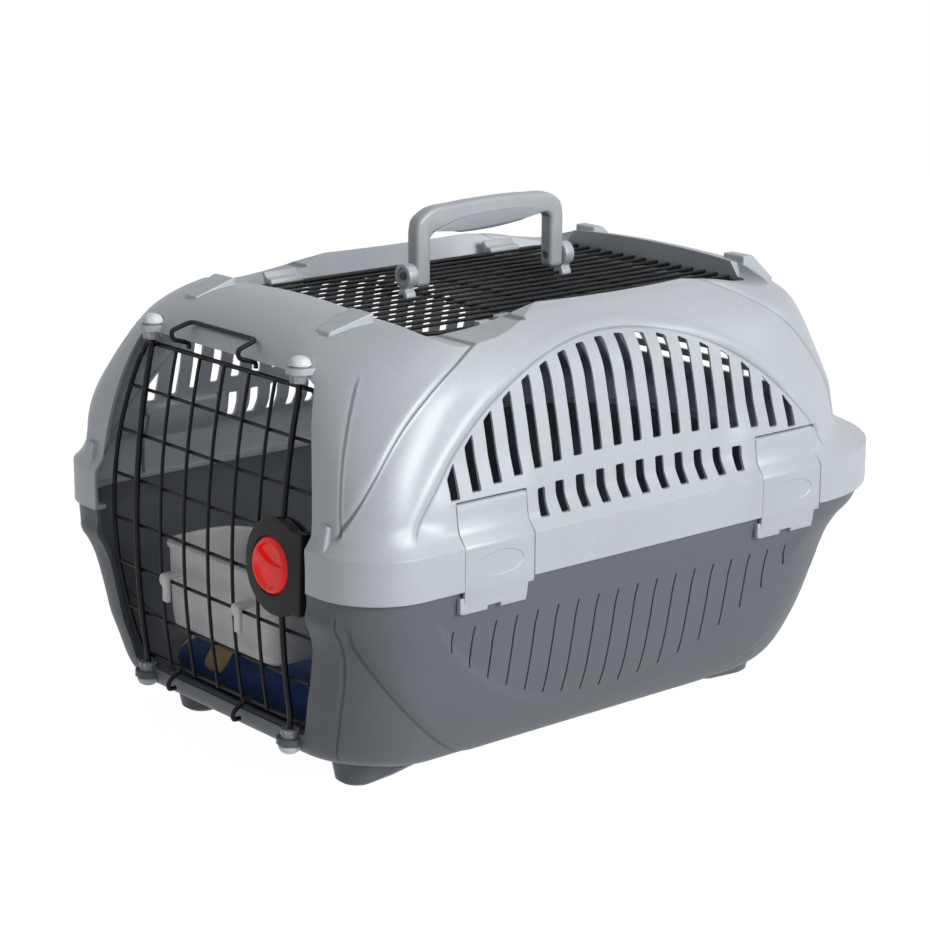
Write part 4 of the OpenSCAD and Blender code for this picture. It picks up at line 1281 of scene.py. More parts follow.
        for i in range(VENT_N):
            x = VENT_X + VENT_PITCH * (i - (VENT_N - 1) / 2)
            xl, xr, c = x - self.slot_w / 2, x + self.slot_w / 2, 0.9
            low = base(x, ROOF_Z - 100)
            found.append([(xl + c, low), (xr - c, low), (xr, low + c), (xr, arch(xr) - c), (xr - c, arch(xr) - 0.2),
                          (xl + c, arch(xl) + 0.2), (xl, arch(xl) - c), (xl, low + c)])
            if math.ceil((VENT_N - self.low_n) / 2) <= i < math.ceil((VENT_N - self.low_n) / 2) + self.low_n:
                low, top = CREASE_Z + 7, base(x, ROOF_Z - 113)
                found.append([(xl + c, low), (xr - c, low), (xr, low + c), (xr, top - c), (xr - c, top),
                              (xl + c, top), (xl, top - c), (xl, low + c)])
        return joined([plate("slot", p, Way.Y, -HALF_W - 10, HALF_W + 10) for p in found])

    def rear_cutters(self) -> bpy.types.Object:
        """The rows of slots in the rear wall.

        Returns:
            One cutter.
        """
        found = []
        for i in range(5):
            reach = 100 * math.sqrt(1 - (i / 6.2) ** 2)
            z = CREASE_Z + 29 + i * 11 - 2.75
            edges = [-reach - 3, *[y for y in (-78, -26, 26, 78) if abs(y) < reach - 12], reach + 3]
            for a, b in zip(edges, edges[1:]):
                found.append(block("rear_slot", (HALF_L - 110, a + 3, z), (HALF_L + 10, b - 3, z + 5.5)))
        return joined(found)

    def clip_cutters(self) -> list[bpy.types.Object]:
        """Pockets and pin bores of the side clips.

        Returns:
            The cutters.
        """
        found = []
        outer = clip_outline()
        pocket = [(y + 1, z) for y, z in outer if z > RIM_Z - 2]
        pocket = [*pocket, (pocket[-1][0], RIM_Z - 1), (pocket[-1][0] - 4.6, RIM_Z - 1)]
        pocket += [(y - 3.6, z) for y, z in reversed(outer) if z > RIM_Z - 2]
        for x in CLIP_X:
            for side in (-1, 1):
                line = [(side * y, z) for y, z in pocket]
                found.append(plate("pocket", line, Way.X, x - CLIP_HALF - 0.5, x + CLIP_HALF + 0.5))
                root = [(PIVOT_Y, PIVOT_Z), (PIVOT_Y, PIVOT_Z + 3.5), (PIVOT_Y + 7, PIVOT_Z + 6),
                        (PIVOT_Y + 7, PIVOT_Z)]
                found.append(plate("root", [(side * y, z) for y, z in root], Way.X,
                                   x - CLIP_HALF - 0.5, x + CLIP_HALF + 0.5))
                for radius, reach in ((3.3, 0.5), (1.46, 4.8)):
                    found.append(rod("knuckle_bore", (x - CLIP_HALF - reach, side * PIVOT_Y, PIVOT_Z),
                                     (x + CLIP_HALF + reach, side * PIVOT_Y, PIVOT_Z), radius, 32))
        return found

    def clip_backs(self) -> list[bpy.types.Object]:
        """Walls behind the clips, and the blocks that hold their pins.

        Returns:
            The solids.
        """
        found = []
        outer = [p for p in clip_outline() if p[1] > RIM_Z]
        web = [(y - 3.2, z) for y, z in outer] + [(y - 6.6, z) for y, z in reversed(outer)]
        for x in CLIP_X:
            for side in (-1, 1):
                found.append(plate("web", [(side * y, z) for y, z in web], Way.X,
                                   x - CLIP_HALF - 3, x + CLIP_HALF + 3))
                for e in (-1, 1):
                    mid = x + e * (CLIP_HALF + 2.5)
                    ys = sorted((side * (PIVOT_Y - 4), side * (PIVOT_Y + 2.2)))
                    found.append(block("pin_block", (mid - 3, ys[0], PIVOT_Z - 4), (mid + 3, ys[1], PIVOT_Z + 3.4)))
        return found

    def fins(self) -> list[bpy.types.Object]:
        """Small upright fins on the rim beside the door.

        Returns:
            The fins.
        """
        found = []
        for side in (-1, 1):
            outline = [(-HALF_L + 0.5, CREASE_Z - 2), (-HALF_L + 14, CREASE_Z - 4), (-HALF_L + 14, CREASE_Z + 15),
                       (-HALF_L + 5.0, CREASE_Z + 20)]
            found.append(rounded(plate("fin", outline, Way.Y, side * 138.5, side * 148), 1.8, 3))
        return found

    def build(self) -> bpy.types.Object:
        """Makes the shell.

        Returns:
            The finished shell.
        """
        shell = shell_solid("upper", self.levels, (0, 1), 2.4, RingCounts(), self.relief)
        cavity = shell_solid("cavity", self.inner_levels(), (0, 1, 2), 6, COARSE, self.relief, 0.7)
        shape(cavity, Cut.AWAY, self.funnel(WALL, LEDGE_Z - 3, ROOF_Z + 20),
              *self.shoulders(-WALL, LID_HALF - 1, LID_HALF - 15))
        shape(shell, Cut.AWAY, cavity)
        shape(shell, Cut.JOIN, *self.clip_backs(), *ears(1, 16), *self.humps(), *self.fins())
        opening = self.opening_outline(-self.ledge_w, 0)
        prism = loft("prism", [np.column_stack([opening, np.full(len(opening), z)])
                               for z in (LEDGE_Z - 10, ROOF_Z + 2)])
        shape(shell, Cut.AWAY, self.funnel(0, LEDGE_Z, ROOF_Z + 12),
              *self.shoulders(0, FRONT_HALF - 1, LID_HALF - 11), prism, door_gap(), *bush_cutters(1),
              self.vent_cutters(), self.rear_cutters(), *self.clip_cutters())
        latch_x = LID_X0 + 96
        catch = block("catch", (latch_x - 25, -LID_HALF - 4, LID_FRAME_Z + 2.6),
                      (latch_x - 13, 1.9 - LID_HALF, LID_FRAME_Z + 5))
        shape(shell, Cut.JOIN, catch)
        smooth(shell, 30)
        modify(shell, "WEIGHTED_NORMAL", keep_sharp=True, weight=60)
        return finish(shell, "upper_shell_body", "shells", "upper_plastic", "upper_shell", look="upper_shell")


def clip_outline() -> list[tuple[float, float]]:
    """Outer outline of rim and clip.

    Returns:
        Points as distance from the centre plane and height.
    """
    return [(PIVOT_Y + 2.8, PIVOT_Z), (HALF_W - 8.2, CREASE_Z + 15), (HALF_W - 6.4, CREASE_Z + 8.6),
            (HALF_W - 3.2, CREASE_Z + 4), (HALF_W - 0.2, CREASE_Z - 0.4), (HALF_W - 0.2, RIM_Z + 1),
            (HALF_W - 0.8, RIM_Z - 4), (HALF_W - 1.5, RIM_Z - 9), (HALF_W - 2.9, RIM_Z - 17)]


# ---- lower shell ---------------------------------------------------------------------------------


@dataclass
class LowerShell:
    """The tub, with its grooved sides, sill and feet."""

    levels: list[list[float]] = field(default_factory=lambda: [
        [TUB_Z, FACE_X + 52, HALF_L - 106, HALF_W - 68, 40, 66],
        [TUB_Z + 6, FACE_X + 37, HALF_L - 88, HALF_W - 52, 50, 80],
        [TUB_Z + 19, FACE_X + 11, HALF_L - 70, HALF_W - 39, 58, 92],
        [TUB_Z + 45, FACE_X + 5.5, HALF_L - 56, HALF_W - 27, 56, 102],
        [TUB_Z + 85, FACE_X + 3, HALF_L - 43, HALF_W - 17.5, 50, 106],
        [RIM_Z - 40, FACE_X + 1, HALF_L - 38, HALF_W - 14, 46, 108],
        [RIM_Z - 30, -HALF_L + 7, HALF_L - 35, HALF_W - 11, 46, 108],
        [RIM_Z - 22, -HALF_L + 3, HALF_L - 28, HALF_W - 8.5, 46, 108],
        [RIM_Z - 9, -HALF_L + 1.5, HALF_L - 9, HALF_W - 5.5, 48, 112],
        [RIM_Z, -HALF_L + 1, HALF_L - 4, HALF_W - 4.5, 49, 115]])
    groove_w: float = 1.5
    groove_depth: float = 1.2
    foot_x: tuple[float, float] = (-209.0, 160.0)
    foot_y: float = 96.0
    foot_reach: tuple[float, float] = (92.0, 66.0)

    def relief(self, points: np.ndarray, outs: np.ndarray) -> np.ndarray:
        """Moves of the outer skin: the sides stand proud inside a large arc.

        Args:
            points: Places on the skin.
            outs: Their outward directions in plan.

        Returns:
            The moves, one row each.
        """
        x, _, z = points.T
        arc = TUB_ARC[2] - np.hypot(x - TUB_ARC[0], z - TUB_ARC[1])
        rib = RIB_ARC[2] - np.hypot(x - RIB_ARC[0], z - RIB_ARC[1])
        side = ramp(np.abs(outs[:, 1]), 0.15, 0.6) * (1 - ramp(z, RIM_Z - 30, RIM_Z - 16))
        out = side * (1.8 * ramp(arc, -2.5, 2.5) - 2.5 * ramp(rib, -1, 7) - 0.4)
        out = out + jamb_relief(points, outs) * (1 - ramp(z, 142, 152)) * ramp(z, 60, 80)
        return np.column_stack([outs[:, 0] * out, outs[:, 1] * out, np.zeros(len(x))])

    def grooves(self) -> bpy.types.Object:
        """The upright grooves in the sides.

        Returns:
            One cutter.
        """
        found = []
        for i in range(VENT_N):
            x = VENT_X + VENT_PITCH * (i - (VENT_N - 1) / 2)
            low = 290 - math.sqrt(240**2 - (x - VENT_X) ** 2)
            for side in (-1, 1):
                ys = sorted((side * 80, side * (HALF_W + 10)))
                found.append(block("groove", (x - self.groove_w / 2, ys[0], low),
                                   (x + self.groove_w / 2, ys[1], RIM_Z - 31)))
        slabs = joined(found)
        core = shell_solid("core", [inset(s, self.groove_depth) for s in self.levels], (0, 9), 5,
                           RingCounts(16, 90, 20, 20), self.relief)
        return shape(slabs, Cut.AWAY, core)

    def feet(self) -> list[bpy.types.Object]:
        """The four feet, each a smooth hull that runs out under the tub.

        Returns:
            The feet.
        """
        found = []
        for e, x in enumerate(self.foot_x):
            way = 1 if e == 0 else -1
            for side in (-1, 1):
                points = []
                heel, toe = x + way * 24, x + way * self.foot_reach[e]
                for cx, r, z in ((x, 12, 0), (x, 15.5, 2.5), (x, 20, TUB_Z + 10), (heel, 9, 0), (heel, 12, 2.5),
                                 (heel, 17, TUB_Z + 6), (toe, 12, TUB_Z - 2), (toe, 12, TUB_Z + 4)):
                    points += [(cx + r * math.cos(a), side * self.foot_y + r * math.sin(a), z)
                               for a in np.linspace(0, 2 * math.pi, 40, endpoint=False)]
                foot = mesh_piece("foot", points, [])
                with editing(foot):
                    bpy.ops.mesh.convex_hull()
                found.append(turn_out(foot))
        return found

    def build(self) -> bpy.types.Object:
        """Makes the tub.

        Returns:
            The finished tub.
        """
        tub = shell_solid("tub", self.levels, (0, 9), 2.8, RingCounts(36, 170, 80, 30), self.relief)
        inner = [inset(s, WALL, WALL if i == 0 else (1 if i == 9 else 0)) for i, s in enumerate(self.levels)]
        shape(tub, Cut.AWAY, shell_solid("hollow", inner, (0, 9), 6, COARSE), door_gap(), self.grooves())
        sill_x, sill_z = -HALF_L + 22.5, DOOR_MID.z - HALF_H - 7
        bar = rod("sill", (sill_x, 6 - CORNER_Y, sill_z - 3.5), (sill_x, CORNER_Y - 6, sill_z - 3.5), 4)
        shape(tub, Cut.JOIN, *self.feet(), *ears(-1, 12), bar)
        shape(tub, Cut.AWAY, shell_solid("floor_cut", inner[:3], (0, 2), 6, COARSE), *bush_cutters(-1))
        smooth(tub, 30)
        modify(tub, "WEIGHTED_NORMAL", keep_sharp=True, weight=60)
        return finish(tub, "lower_shell_body", "shells", "lower_plastic", "lower_shell", look="lower_shell")


# ---- side clips ----------------------------------------------------------------------------------


@dataclass
class SideClips:
    """The four clips that hold the shells together."""

    thick: float = 2.6
    tab_shift: float = 4.0
    notch_w: float = 12.0
    notch_h: float = 3.0

    def model(self) -> bpy.types.Object:
        """One clip about x 0 on the left side.

        Returns:
            The clip.
        """
        outer = flowing(clip_outline(), 1.6, (4, 5))
        skin = [tuple(p) for p in outer] + [(y - self.thick, z) for y, z in reversed(outer)]
        body = plate("clip", skin, Way.X, -CLIP_HALF, CLIP_HALF)
        low = RIM_Z - 17
        shape(body, Cut.AWAY,
              block("end_cut", (-CLIP_HALF - 5, 0, low - 9), (1 - CLIP_HALF - self.tab_shift + 1, 300, RIM_Z - 4)),
              block("end_cut", (CLIP_HALF - self.tab_shift - 1, 0, low - 9), (CLIP_HALF + 5, 300, RIM_Z - 4)),
              block("notch", (-self.notch_w / 2 - 3, 0, low - 9), (self.notch_w / 2 - 3, 300, low + self.notch_h)))
        step = block("tab", (-CLIP_HALF - self.tab_shift + 1, HALF_W - 5.3, low + 1.2),
                     (2 - CLIP_HALF, HALF_W - 1.7, RIM_Z - 5))
        shape(body, Cut.JOIN, step)
        rounded(body, 0.7, 2, 40)
        mid_z = (CREASE_Z + RIM_Z) / 2
        recess = rod("recess", (1, HALF_W - 0.9, mid_z), (1, HALF_W + 3, mid_z), 1, 64, 1.25)
        moved(recess, Matrix.Translation((1, 0, mid_z)) @ Matrix.Diagonal((19.5, 1, 8.2, 1))
              @ Matrix.Translation((-1, 0, -mid_z)))
        shape(body, Cut.AWAY, recess)
        for radius, reach in ((2.8, 0), (1.4, 4)):
            shape(body, Cut.JOIN, rod("knuckle", (-CLIP_HALF - reach, PIVOT_Y, PIVOT_Z),
                                      (CLIP_HALF + reach, PIVOT_Y, PIVOT_Z), radius, 32))
        return smooth(body, 34)

    def build(self) -> list[bpy.types.Object]:
        """Makes the clips from one model.

        Returns:
            The four finished clips.
        """
        first = self.model()
        made = []
        for x, where in zip(CLIP_X, ("front", "rear")):
            for side, hand in ((-1, "right"), (1, "left")):
                flip = Matrix.Translation((x, 0, 0)) @ Matrix.Diagonal((1, side, 1, 1))
                twin = copied(first, "clip", flip)
                made.append(finish(smooth(twin, 34), f"{where}_{hand}_side_clip", f"{where}_{hand}_clip",
                                   "upper_plastic", f"side_clip_{where}_{hand}"))
        bpy.data.objects.remove(first)
        return made


# ---- door ----------------------------------------------------------------------------------------


@dataclass
class Door:
    """The smooth outer wires of the door; its inner wires and rods are the CAD's."""

    frame_r: float = 1.7
    corner_r: float = 8.0
    loop_y: tuple[float, float] = (48.5, -32.7)

    def outline(self) -> list[Vector]:
        """The frame wire's path in the door's own frame.

        Returns:
            Points of the ring.
        """
        path: list[Vector] = []

        def corner(side: int, end: int) -> list[Vector]:
            """A rounded corner from the cross wire to the side wire.

            Args:
                side: 1 for the hinge side, -1 for the lock side.
                end: 1 for the top, -1 for the bottom.

            Returns:
                Its points.
            """
            return [Vector((door_x(HALF_H - self.corner_r * (1 - math.cos(t))),
                            side * (CORNER_Y + 1.5 - self.corner_r * (1 - math.sin(t))),
                            end * (HALF_H - self.corner_r * (1 - math.cos(t)))))
                    for t in np.linspace(0, math.pi / 2, 9)]

        def side_wire(side: int) -> list[Vector]:
            """A side wire from the bottom to the top.

            Args:
                side: 1 for the hinge side, -1 for the lock side.

            Returns:
                Its points.
            """
            heights = np.linspace(-1, 1, 41)[2:-2] * HALF_H
            return [Vector((door_x(z), side * side_y(z), z)) for z in heights]

        path += corner(1, 1) + list(reversed(side_wire(1))) + list(reversed(corner(1, -1)))
        path += corner(-1, -1) + side_wire(-1) + list(reversed(corner(-1, 1)))
        return path

    def bent(self, points: Sequence[Point], radius: float) -> list[Vector]:
        """A path with rounded inner corners.

        Args:
            points: Corners of the path.
            radius: How far from a corner its bend starts.

        Returns:
            Points of the path.
        """
        p = [Vector(q) for q in points]
        out = [p[0]]
        for before, at, after in zip(p, p[1:], p[2:]):
            a, b = before - at, after - at
            d = min(radius, a.length / 2.05, b.length / 2.05)
            out += [at + a.normalized() * d * (1 - t) ** 2 + b.normalized() * d * t * t for t in np.linspace(0, 1, 9)]
        return out + [p[-1]]

    def build(self) -> None:
        """Makes the frame wire, the pull loop and the sill hooks."""
        m = door_matrix()
        frame_wire = tube("frame", [m @ p for p in self.outline()], self.frame_r, True, 4)
        finish(frame_wire, "door_outer_wire", "front_door", "black_wire", "door_frame_wire")
        weld = 2 * self.frame_r + 0.05
        left, right = self.loop_y
        loop = [(0, left, HALF_H + weld), (0, left, HALF_H + 7.5), (-13, left + 2, HALF_H + 11),
                (-14, left + 2, HALF_H + 17), (0.8, left - 1, HALF_H + 23), (0.8, right + 1, HALF_H + 23),
                (-14, right + 2, HALF_H + 17), (-13, right + 2, HALF_H + 11), (0, right, HALF_H + 7.5),
                (0, right, HALF_H + weld)]
        pull = tube("loop", [m @ p for p in self.bent(loop, 5)], self.frame_r, sides=4)
        finish(pull, "door_finger_loop", "front_door", "black_wire", "door_pull_loop")
        hooks = []
        for y in self.loop_y:
            hook = [(-weld, y, 1 - HALF_H), (-weld - 1, y, -HALF_H - 2), (-13, y, -HALF_H - 7),
                    (-13.5, y, -HALF_H - 13.5), (-7, y, -HALF_H - 13)]
            hooks.append(tube("hook", [m @ p for p in self.bent(hook, 4)], self.frame_r, sides=4))
        finish(joined(hooks), "door_sill_hook_pair", "front_door", "black_wire", "door_sill_hooks")


@dataclass
class Lock:
    """The lock's front plate and its red knob."""

    radius: float = 34.0
    edge: float = 34.0
    shift: float = 5.0
    corner: float = 0.84
    back: float = 1.75
    front: float = 10.4
    knob_r: float = 20.0
    axis: tuple[float, float, float] = (-11.7, -84.5, -4.0)

    def matrix(self) -> Matrix:
        """From the lock's own frame, whose z points out of the door, to the carrier's."""
        return (door_matrix() @ Matrix.Translation(self.axis) @ Matrix.Rotation(math.radians(-90), 4, "Z")
                @ Matrix.Rotation(math.radians(90), 4, "X"))

    def outline(self, r: float) -> list[tuple[float, float]]:
        """Outline of the housing: a round side and a straight edge.

        Args:
            r: Radius of the round side.

        Returns:
            Its corners.
        """
        half = r * self.corner
        start = math.asin(self.corner)
        round_side = [(self.shift + r * math.cos(a), r * math.sin(a))
                      for a in np.linspace(math.pi / 2, 3 * math.pi / 2, 49)]
        upper = [(self.shift + r * math.cos(a), r * math.sin(a))
                 for a in np.linspace(start, math.pi / 2, 10)][:-1] if self.edge > self.shift + r * math.cos(start) else []
        top = [(self.edge, half), *upper]
        return top + round_side + [(x, -y) for x, y in reversed(top)]

    def build(self) -> None:
        """Makes the plate and the knob."""
        housing = plate("plate", self.outline(self.radius), Way.Z, self.back, self.front)
        rounded(housing, 1.4, 3, 50)
        depth = self.back + 5.5
        cuts = [rod("shaft_hole", (0, 0, -1), (0, 0, 40), 7.06),
                rod("cup", (0, 0, self.front - 1.5), (0, 0, 40), self.knob_r + 0.6, 96),
                rod("cam_room", (0, 0, -1), (0, 0, depth + 1), 15.3)]
        rod_y = self.axis[1] + ROD_Y
        cuts += [block("rod_room", (rod_y - 2.5, -60, -1), (rod_y + 2.5, 60, depth + 1)),
                 block("wire_room", (rod_y - 29.83 - 1.6, -60, -1), (rod_y - 29.83 + 1.6, 60, 4.6))]
        shape(housing, Cut.AWAY, *cuts)
        smooth(moved(housing, self.matrix()), 32)
        finish(housing, "lock_front_plate", "front_door", "lock_black", "lock_plate")

        knob = rod("knob", (0, 0, self.front - 1.2), (0, 0, self.front + 1.0), self.knob_r, 96, self.knob_r - 1.4)
        shape(knob, Cut.JOIN, rod("rim", (0, 0, self.front + 0.9), (0, 0, self.front + 2.1), self.knob_r - 1.5, 96,
                                  self.knob_r - 2.4))
        rounded(knob, 0.5, 2, 30)
        bowl = rod("dish", (0, 0, self.front - 0.2), (0, 0, self.front + 4), self.knob_r - 5.6, 96, self.knob_r - 2.2)
        bow = [(-20, 6.4), (-4, 2.8), (4, 2.8), (20, 7.4), (20, -7.4), (4, -2.8), (-4, -2.8), (-20, -6.4)]
        bar = plate("bar", bow, Way.Z, self.front - 3, self.front + 5)
        bevelled = rounded(bar, 0.9, 3, 40)
        shape(bowl, Cut.AWAY, bevelled)
        moved(bowl, Matrix.Rotation(math.radians(-16), 4, "Z"))
        shape(knob, Cut.AWAY, bowl)
        shape(knob, Cut.JOIN, rod("shaft", (0, 0, self.back + 0.6), (0, 0, self.front - 1.1), 7))
        finish(smooth(moved(knob, self.matrix()), 35), "red_turning_knob", "knob", "knob_red", "lock_knob")


@dataclass
class Caps:
    """The domed caps over the ends of the rods."""

    radius: float = 8.0
    rise: float = 6.6

    def build(self) -> None:
        """Makes the four caps as one piece."""
        made = []
        for end in (-1, 1):
            for side in (-1, 1):
                deselect_all()
                bpy.ops.mesh.primitive_uv_sphere_add(segments=48, ring_count=24, radius=1)
                dome = bpy.context.active_object
                with editing(dome):
                    bpy.ops.mesh.bisect(plane_co=(0, 0, 0), plane_no=(0, 0, 1), use_fill=True, clear_inner=True)
                dome.data.transform(Matrix.Diagonal((7.6 * MM, 7.6 * MM, (self.rise - 1.8) * MM, 1)))
                moved(dome, Matrix.Translation((0, 0, 1.8)))
                flange = rounded(rod("flange", (0, 0, 0), (0, 0, 2.4), self.radius, 48), 0.6, 3)
                shape(flange, Cut.JOIN, turn_out(dome))
                x = ROD_X if side > 0 else LOCK_ROD_X
                place = door_matrix() @ Matrix.Translation((x, side * ROD_Y, end * (BUSH_OUT + 0.1)))
                made.append(moved(flange, place @ Matrix.Rotation(0 if end > 0 else math.pi, 4, "X")))
        finish(smooth(joined(made), 40), "domed_caps", "shells", "cap_plastic", "bush_caps")


# ---- lid and handle ------------------------------------------------------------------------------


@dataclass
class Lid:
    """The lid's smooth frame wire, its hinge clips and its latch."""

    wire_r: float = 1.7
    hinge_x: tuple[float, float] = (-141.0, 132.0)
    clip_x: tuple[float, float] = (-121.0, 95.0)
    latch_x: float = -88.0

    def path(self) -> list[Vector]:
        """The frame wire from one end of the hinge bar round to the other.

        Returns:
            Points of the path.
        """
        h, z, f = HINGE_Y, LID_FRAME_Z, FRONT_HALF
        x0, x1 = LID_X0, LID_X1
        points = [(self.hinge_x[0] + 1, h, z), (x0 + 36, h - 1.5, z), (x0 + 26, h - 7, z), (x0 + 14, f + 8, z),
                  (x0 + 4, f - 3, z), (x0 + 4, 3 - f, z), (x0 + 14, -f - 8, z), (x0 + 26, 7 - h, z),
                  (x0 + 36, 1.5 - h, z), (x0 + 52, -h, z), (x1 - 22, -h, z), (x1 - 9, 1 - h, z),
                  (x1 - 5, 6 - h, z), (x1 - 5, h - 6, z), (x1 - 9, h - 1, z), (self.hinge_x[1] - 1, h, z)]
        return Door().bent(points, 8)

    def build(self) -> None:
        """Makes the frame wire, the clips and the latch."""
        wire = tube("lid_wire", self.path(), self.wire_r, sides=4)
        bar = rod("hinge_bar", (self.hinge_x[0], HINGE_Y, LID_FRAME_Z), (self.hinge_x[1], HINGE_Y, LID_FRAME_Z),
                  2.0, 24)
        finish(smooth(joined([wire, bar]), 50), "lid_outer_wire", "lid", "black_wire", "lid_frame_wire")
        clips = []
        for x in self.clip_x:
            section = [(-4.6, -2), (3.3, -2), (7.6, 9.4), (5.2, 10.2), (1.6, 6), (-3.4, 5.6), (-4.6, 4.2)]
            outline = [(HINGE_Y + a, LID_FRAME_Z + b + 0.02) for a, b in section]
            clip = rounded(plate("clip", outline, Way.X, x - 15, x + 15), 0.8, 3)
            bore = rod("bore", (x - 30, HINGE_Y, LID_FRAME_Z), (x + 30, HINGE_Y, LID_FRAME_Z), 2.06)
            clips.append(shape(clip, Cut.AWAY, bore))
        finish(smooth(joined(clips)), "hinge_clips", "shells", "upper_plastic", "lid_hinge_clips")
        x, low = self.latch_x, LID_FRAME_Z - self.wire_r + 0.1
        latch = rounded(block("latch", (x - 3, -HINGE_Y - 3.4, low), (x + 11, 4.6 - HINGE_Y, low + 7.5)), 1.2, 3)
        tongue = rounded(block("tongue", (x - 11, -HINGE_Y - 3.4, low), (x - 1, 4.6 - HINGE_Y, low + 3.9)), 0.8, 2)
        rib = rounded(block("rib", (x + 2.6, -HINGE_Y - 1.8, low + 5.5), (x + 5.0, 3.0 - HINGE_Y, low + 8.3)), 0.6, 2)
        shape(latch, Cut.JOIN, tongue, rib)
        shape(latch, Cut.AWAY, rod("bore", (x - 20, -HINGE_Y, LID_FRAME_Z), (x + 20, -HINGE_Y, LID_FRAME_Z), 1.76))
        finish(smooth(latch), "sliding_latch", "latch", "upper_plastic", "lid_latch")


@dataclass
class Handle:
    """The folding handle and the two brackets that hold it."""

    middle: float = -10.5
    length: float = 143.0
    pivot_z: float = 331.2
    top: float = 382.2
    arm: float = 13.0

    def bracket(self, end: int) -> bpy.types.Object:
        """A figure-of-eight bracket in front of or behind the arms.

        Args:
            end: -1 for the front, 1 for the rear.

        Returns:
            The bracket.
        """
        x = self.middle + end * (self.length / 2 + 0.3 + 4.5)
        upper = rounded(rod("ring", (x - 4.5, 0, self.pivot_z), (x + 4.5, 0, self.pivot_z), 9, 64), 1.0, 3)
        lower = rounded(rod("wire_ring", (x - 4.5, 0, LONG_Z), (x + 4.5, 0, LONG_Z), 5.4, 48), 0.8, 3)
        waist = [(-4.2, self.pivot_z - 7.4), (-2.9, self.pivot_z - 9.6), (-3.6, LONG_Z + 3.4), (3.6, LONG_Z + 3.4),
                 (2.9, self.pivot_z - 9.6), (4.2, self.pivot_z - 7.4)]
        neck = plate("waist", waist, Way.X, x - 4.1, x + 4.1)
        shape(upper, Cut.JOIN, lower, neck)
        outer = x + end * 4.5
        shape(upper, Cut.AWAY, rod("pin_bore", (x - 9, 0, self.pivot_z), (x + 9, 0, self.pivot_z), 3.02),
              rod("recess", (outer - end * 1.6, 0, self.pivot_z), (outer + end * 3, 0, self.pivot_z), 6.0, 64),
              rod("wire_bore", (x - 9, 0, LONG_Z), (x + 9, 0, LONG_Z), 1.3))
        return smooth(upper, 34)

    def build(self) -> None:
        """Makes the brackets, the handle and the grip inserts."""
        for end, name in ((-1, "front"), (1, "rear")):
            finish(self.bracket(end), f"{name}_handle_bracket", "lid", "upper_plastic", f"handle_bracket_{name}")
        x0, x1 = self.middle - self.length / 2, self.middle + self.length / 2
        t, a, p = self.top, self.arm, self.pivot_z
        foot = p - 8.6
        outer = flowing([(x0, foot), (x0, t - 20), (x0 + 2.0, t - 11.5), (x0 + 10, t - 5.4), (x0 + 38, t - 1.5),
                         ((x0 + x1) / 2, t - 0.2), (x1 - 34, t - 0.8), (x1 - 11, t - 3.6), (x1 - 2.4, t - 10),
                         (x1, t - 20), (x1, foot)], 3, (0, 1, 9, 10))
        inner = flowing([(x1 - a, foot), (x1 - a, t - 21), (x1 - a - 2.2, t - 18.6), (x1 - a - 30, t - 20.8),
                         ((x0 + x1) / 2 + 6, t - 23), (x0 + a + 32, t - 23.6), (x0 + a + 2.4, t - 22.4), (x0 + a, t - 25),
                         (x0 + a, foot)], 3, (0, 1, 7, 8))
        body = plate("handle", [tuple(q) for q in outer] + [tuple(q) for q in inner], Way.Y, -6.4, 6.4)
        rounded(body, 3.4, 4, 50)
        shape(body, Cut.AWAY, *[rod("bore", (x - a, 0, p), (x + a, 0, p), 3.06) for x in (x0 + a / 2, x1 - a / 2)])
        grip = []
        for side in (-1, 1):
            line = flowing([(self.middle - 57, t - 19.5), (self.middle - 32, t - 12.6), (self.middle, t - 10.2),
                            (self.middle + 32, t - 10.4), (self.middle + 56, t - 14.6), (self.middle + 30, t - 18.6),
                            (self.middle + 2, t - 20.6), (self.middle - 32, t - 21.6)], 3, (0, 4), closed=True)
            ys = (6.42, 8.6) if side > 0 else (-8.6, -6.42)
            grip.append(rounded(plate("grip", [tuple(q) for q in line], Way.Y, *ys), 1.6, 4, 50))
        finish(smooth(body, 36), "folding_handle", "handle", "handle_plastic", "carry_handle")
        finish(smooth(joined(grip), 36), "grip_pads", "handle", "grip_plastic", "grip_insert")


# ---- bowl and cushion ----------------------------------------------------------------------------


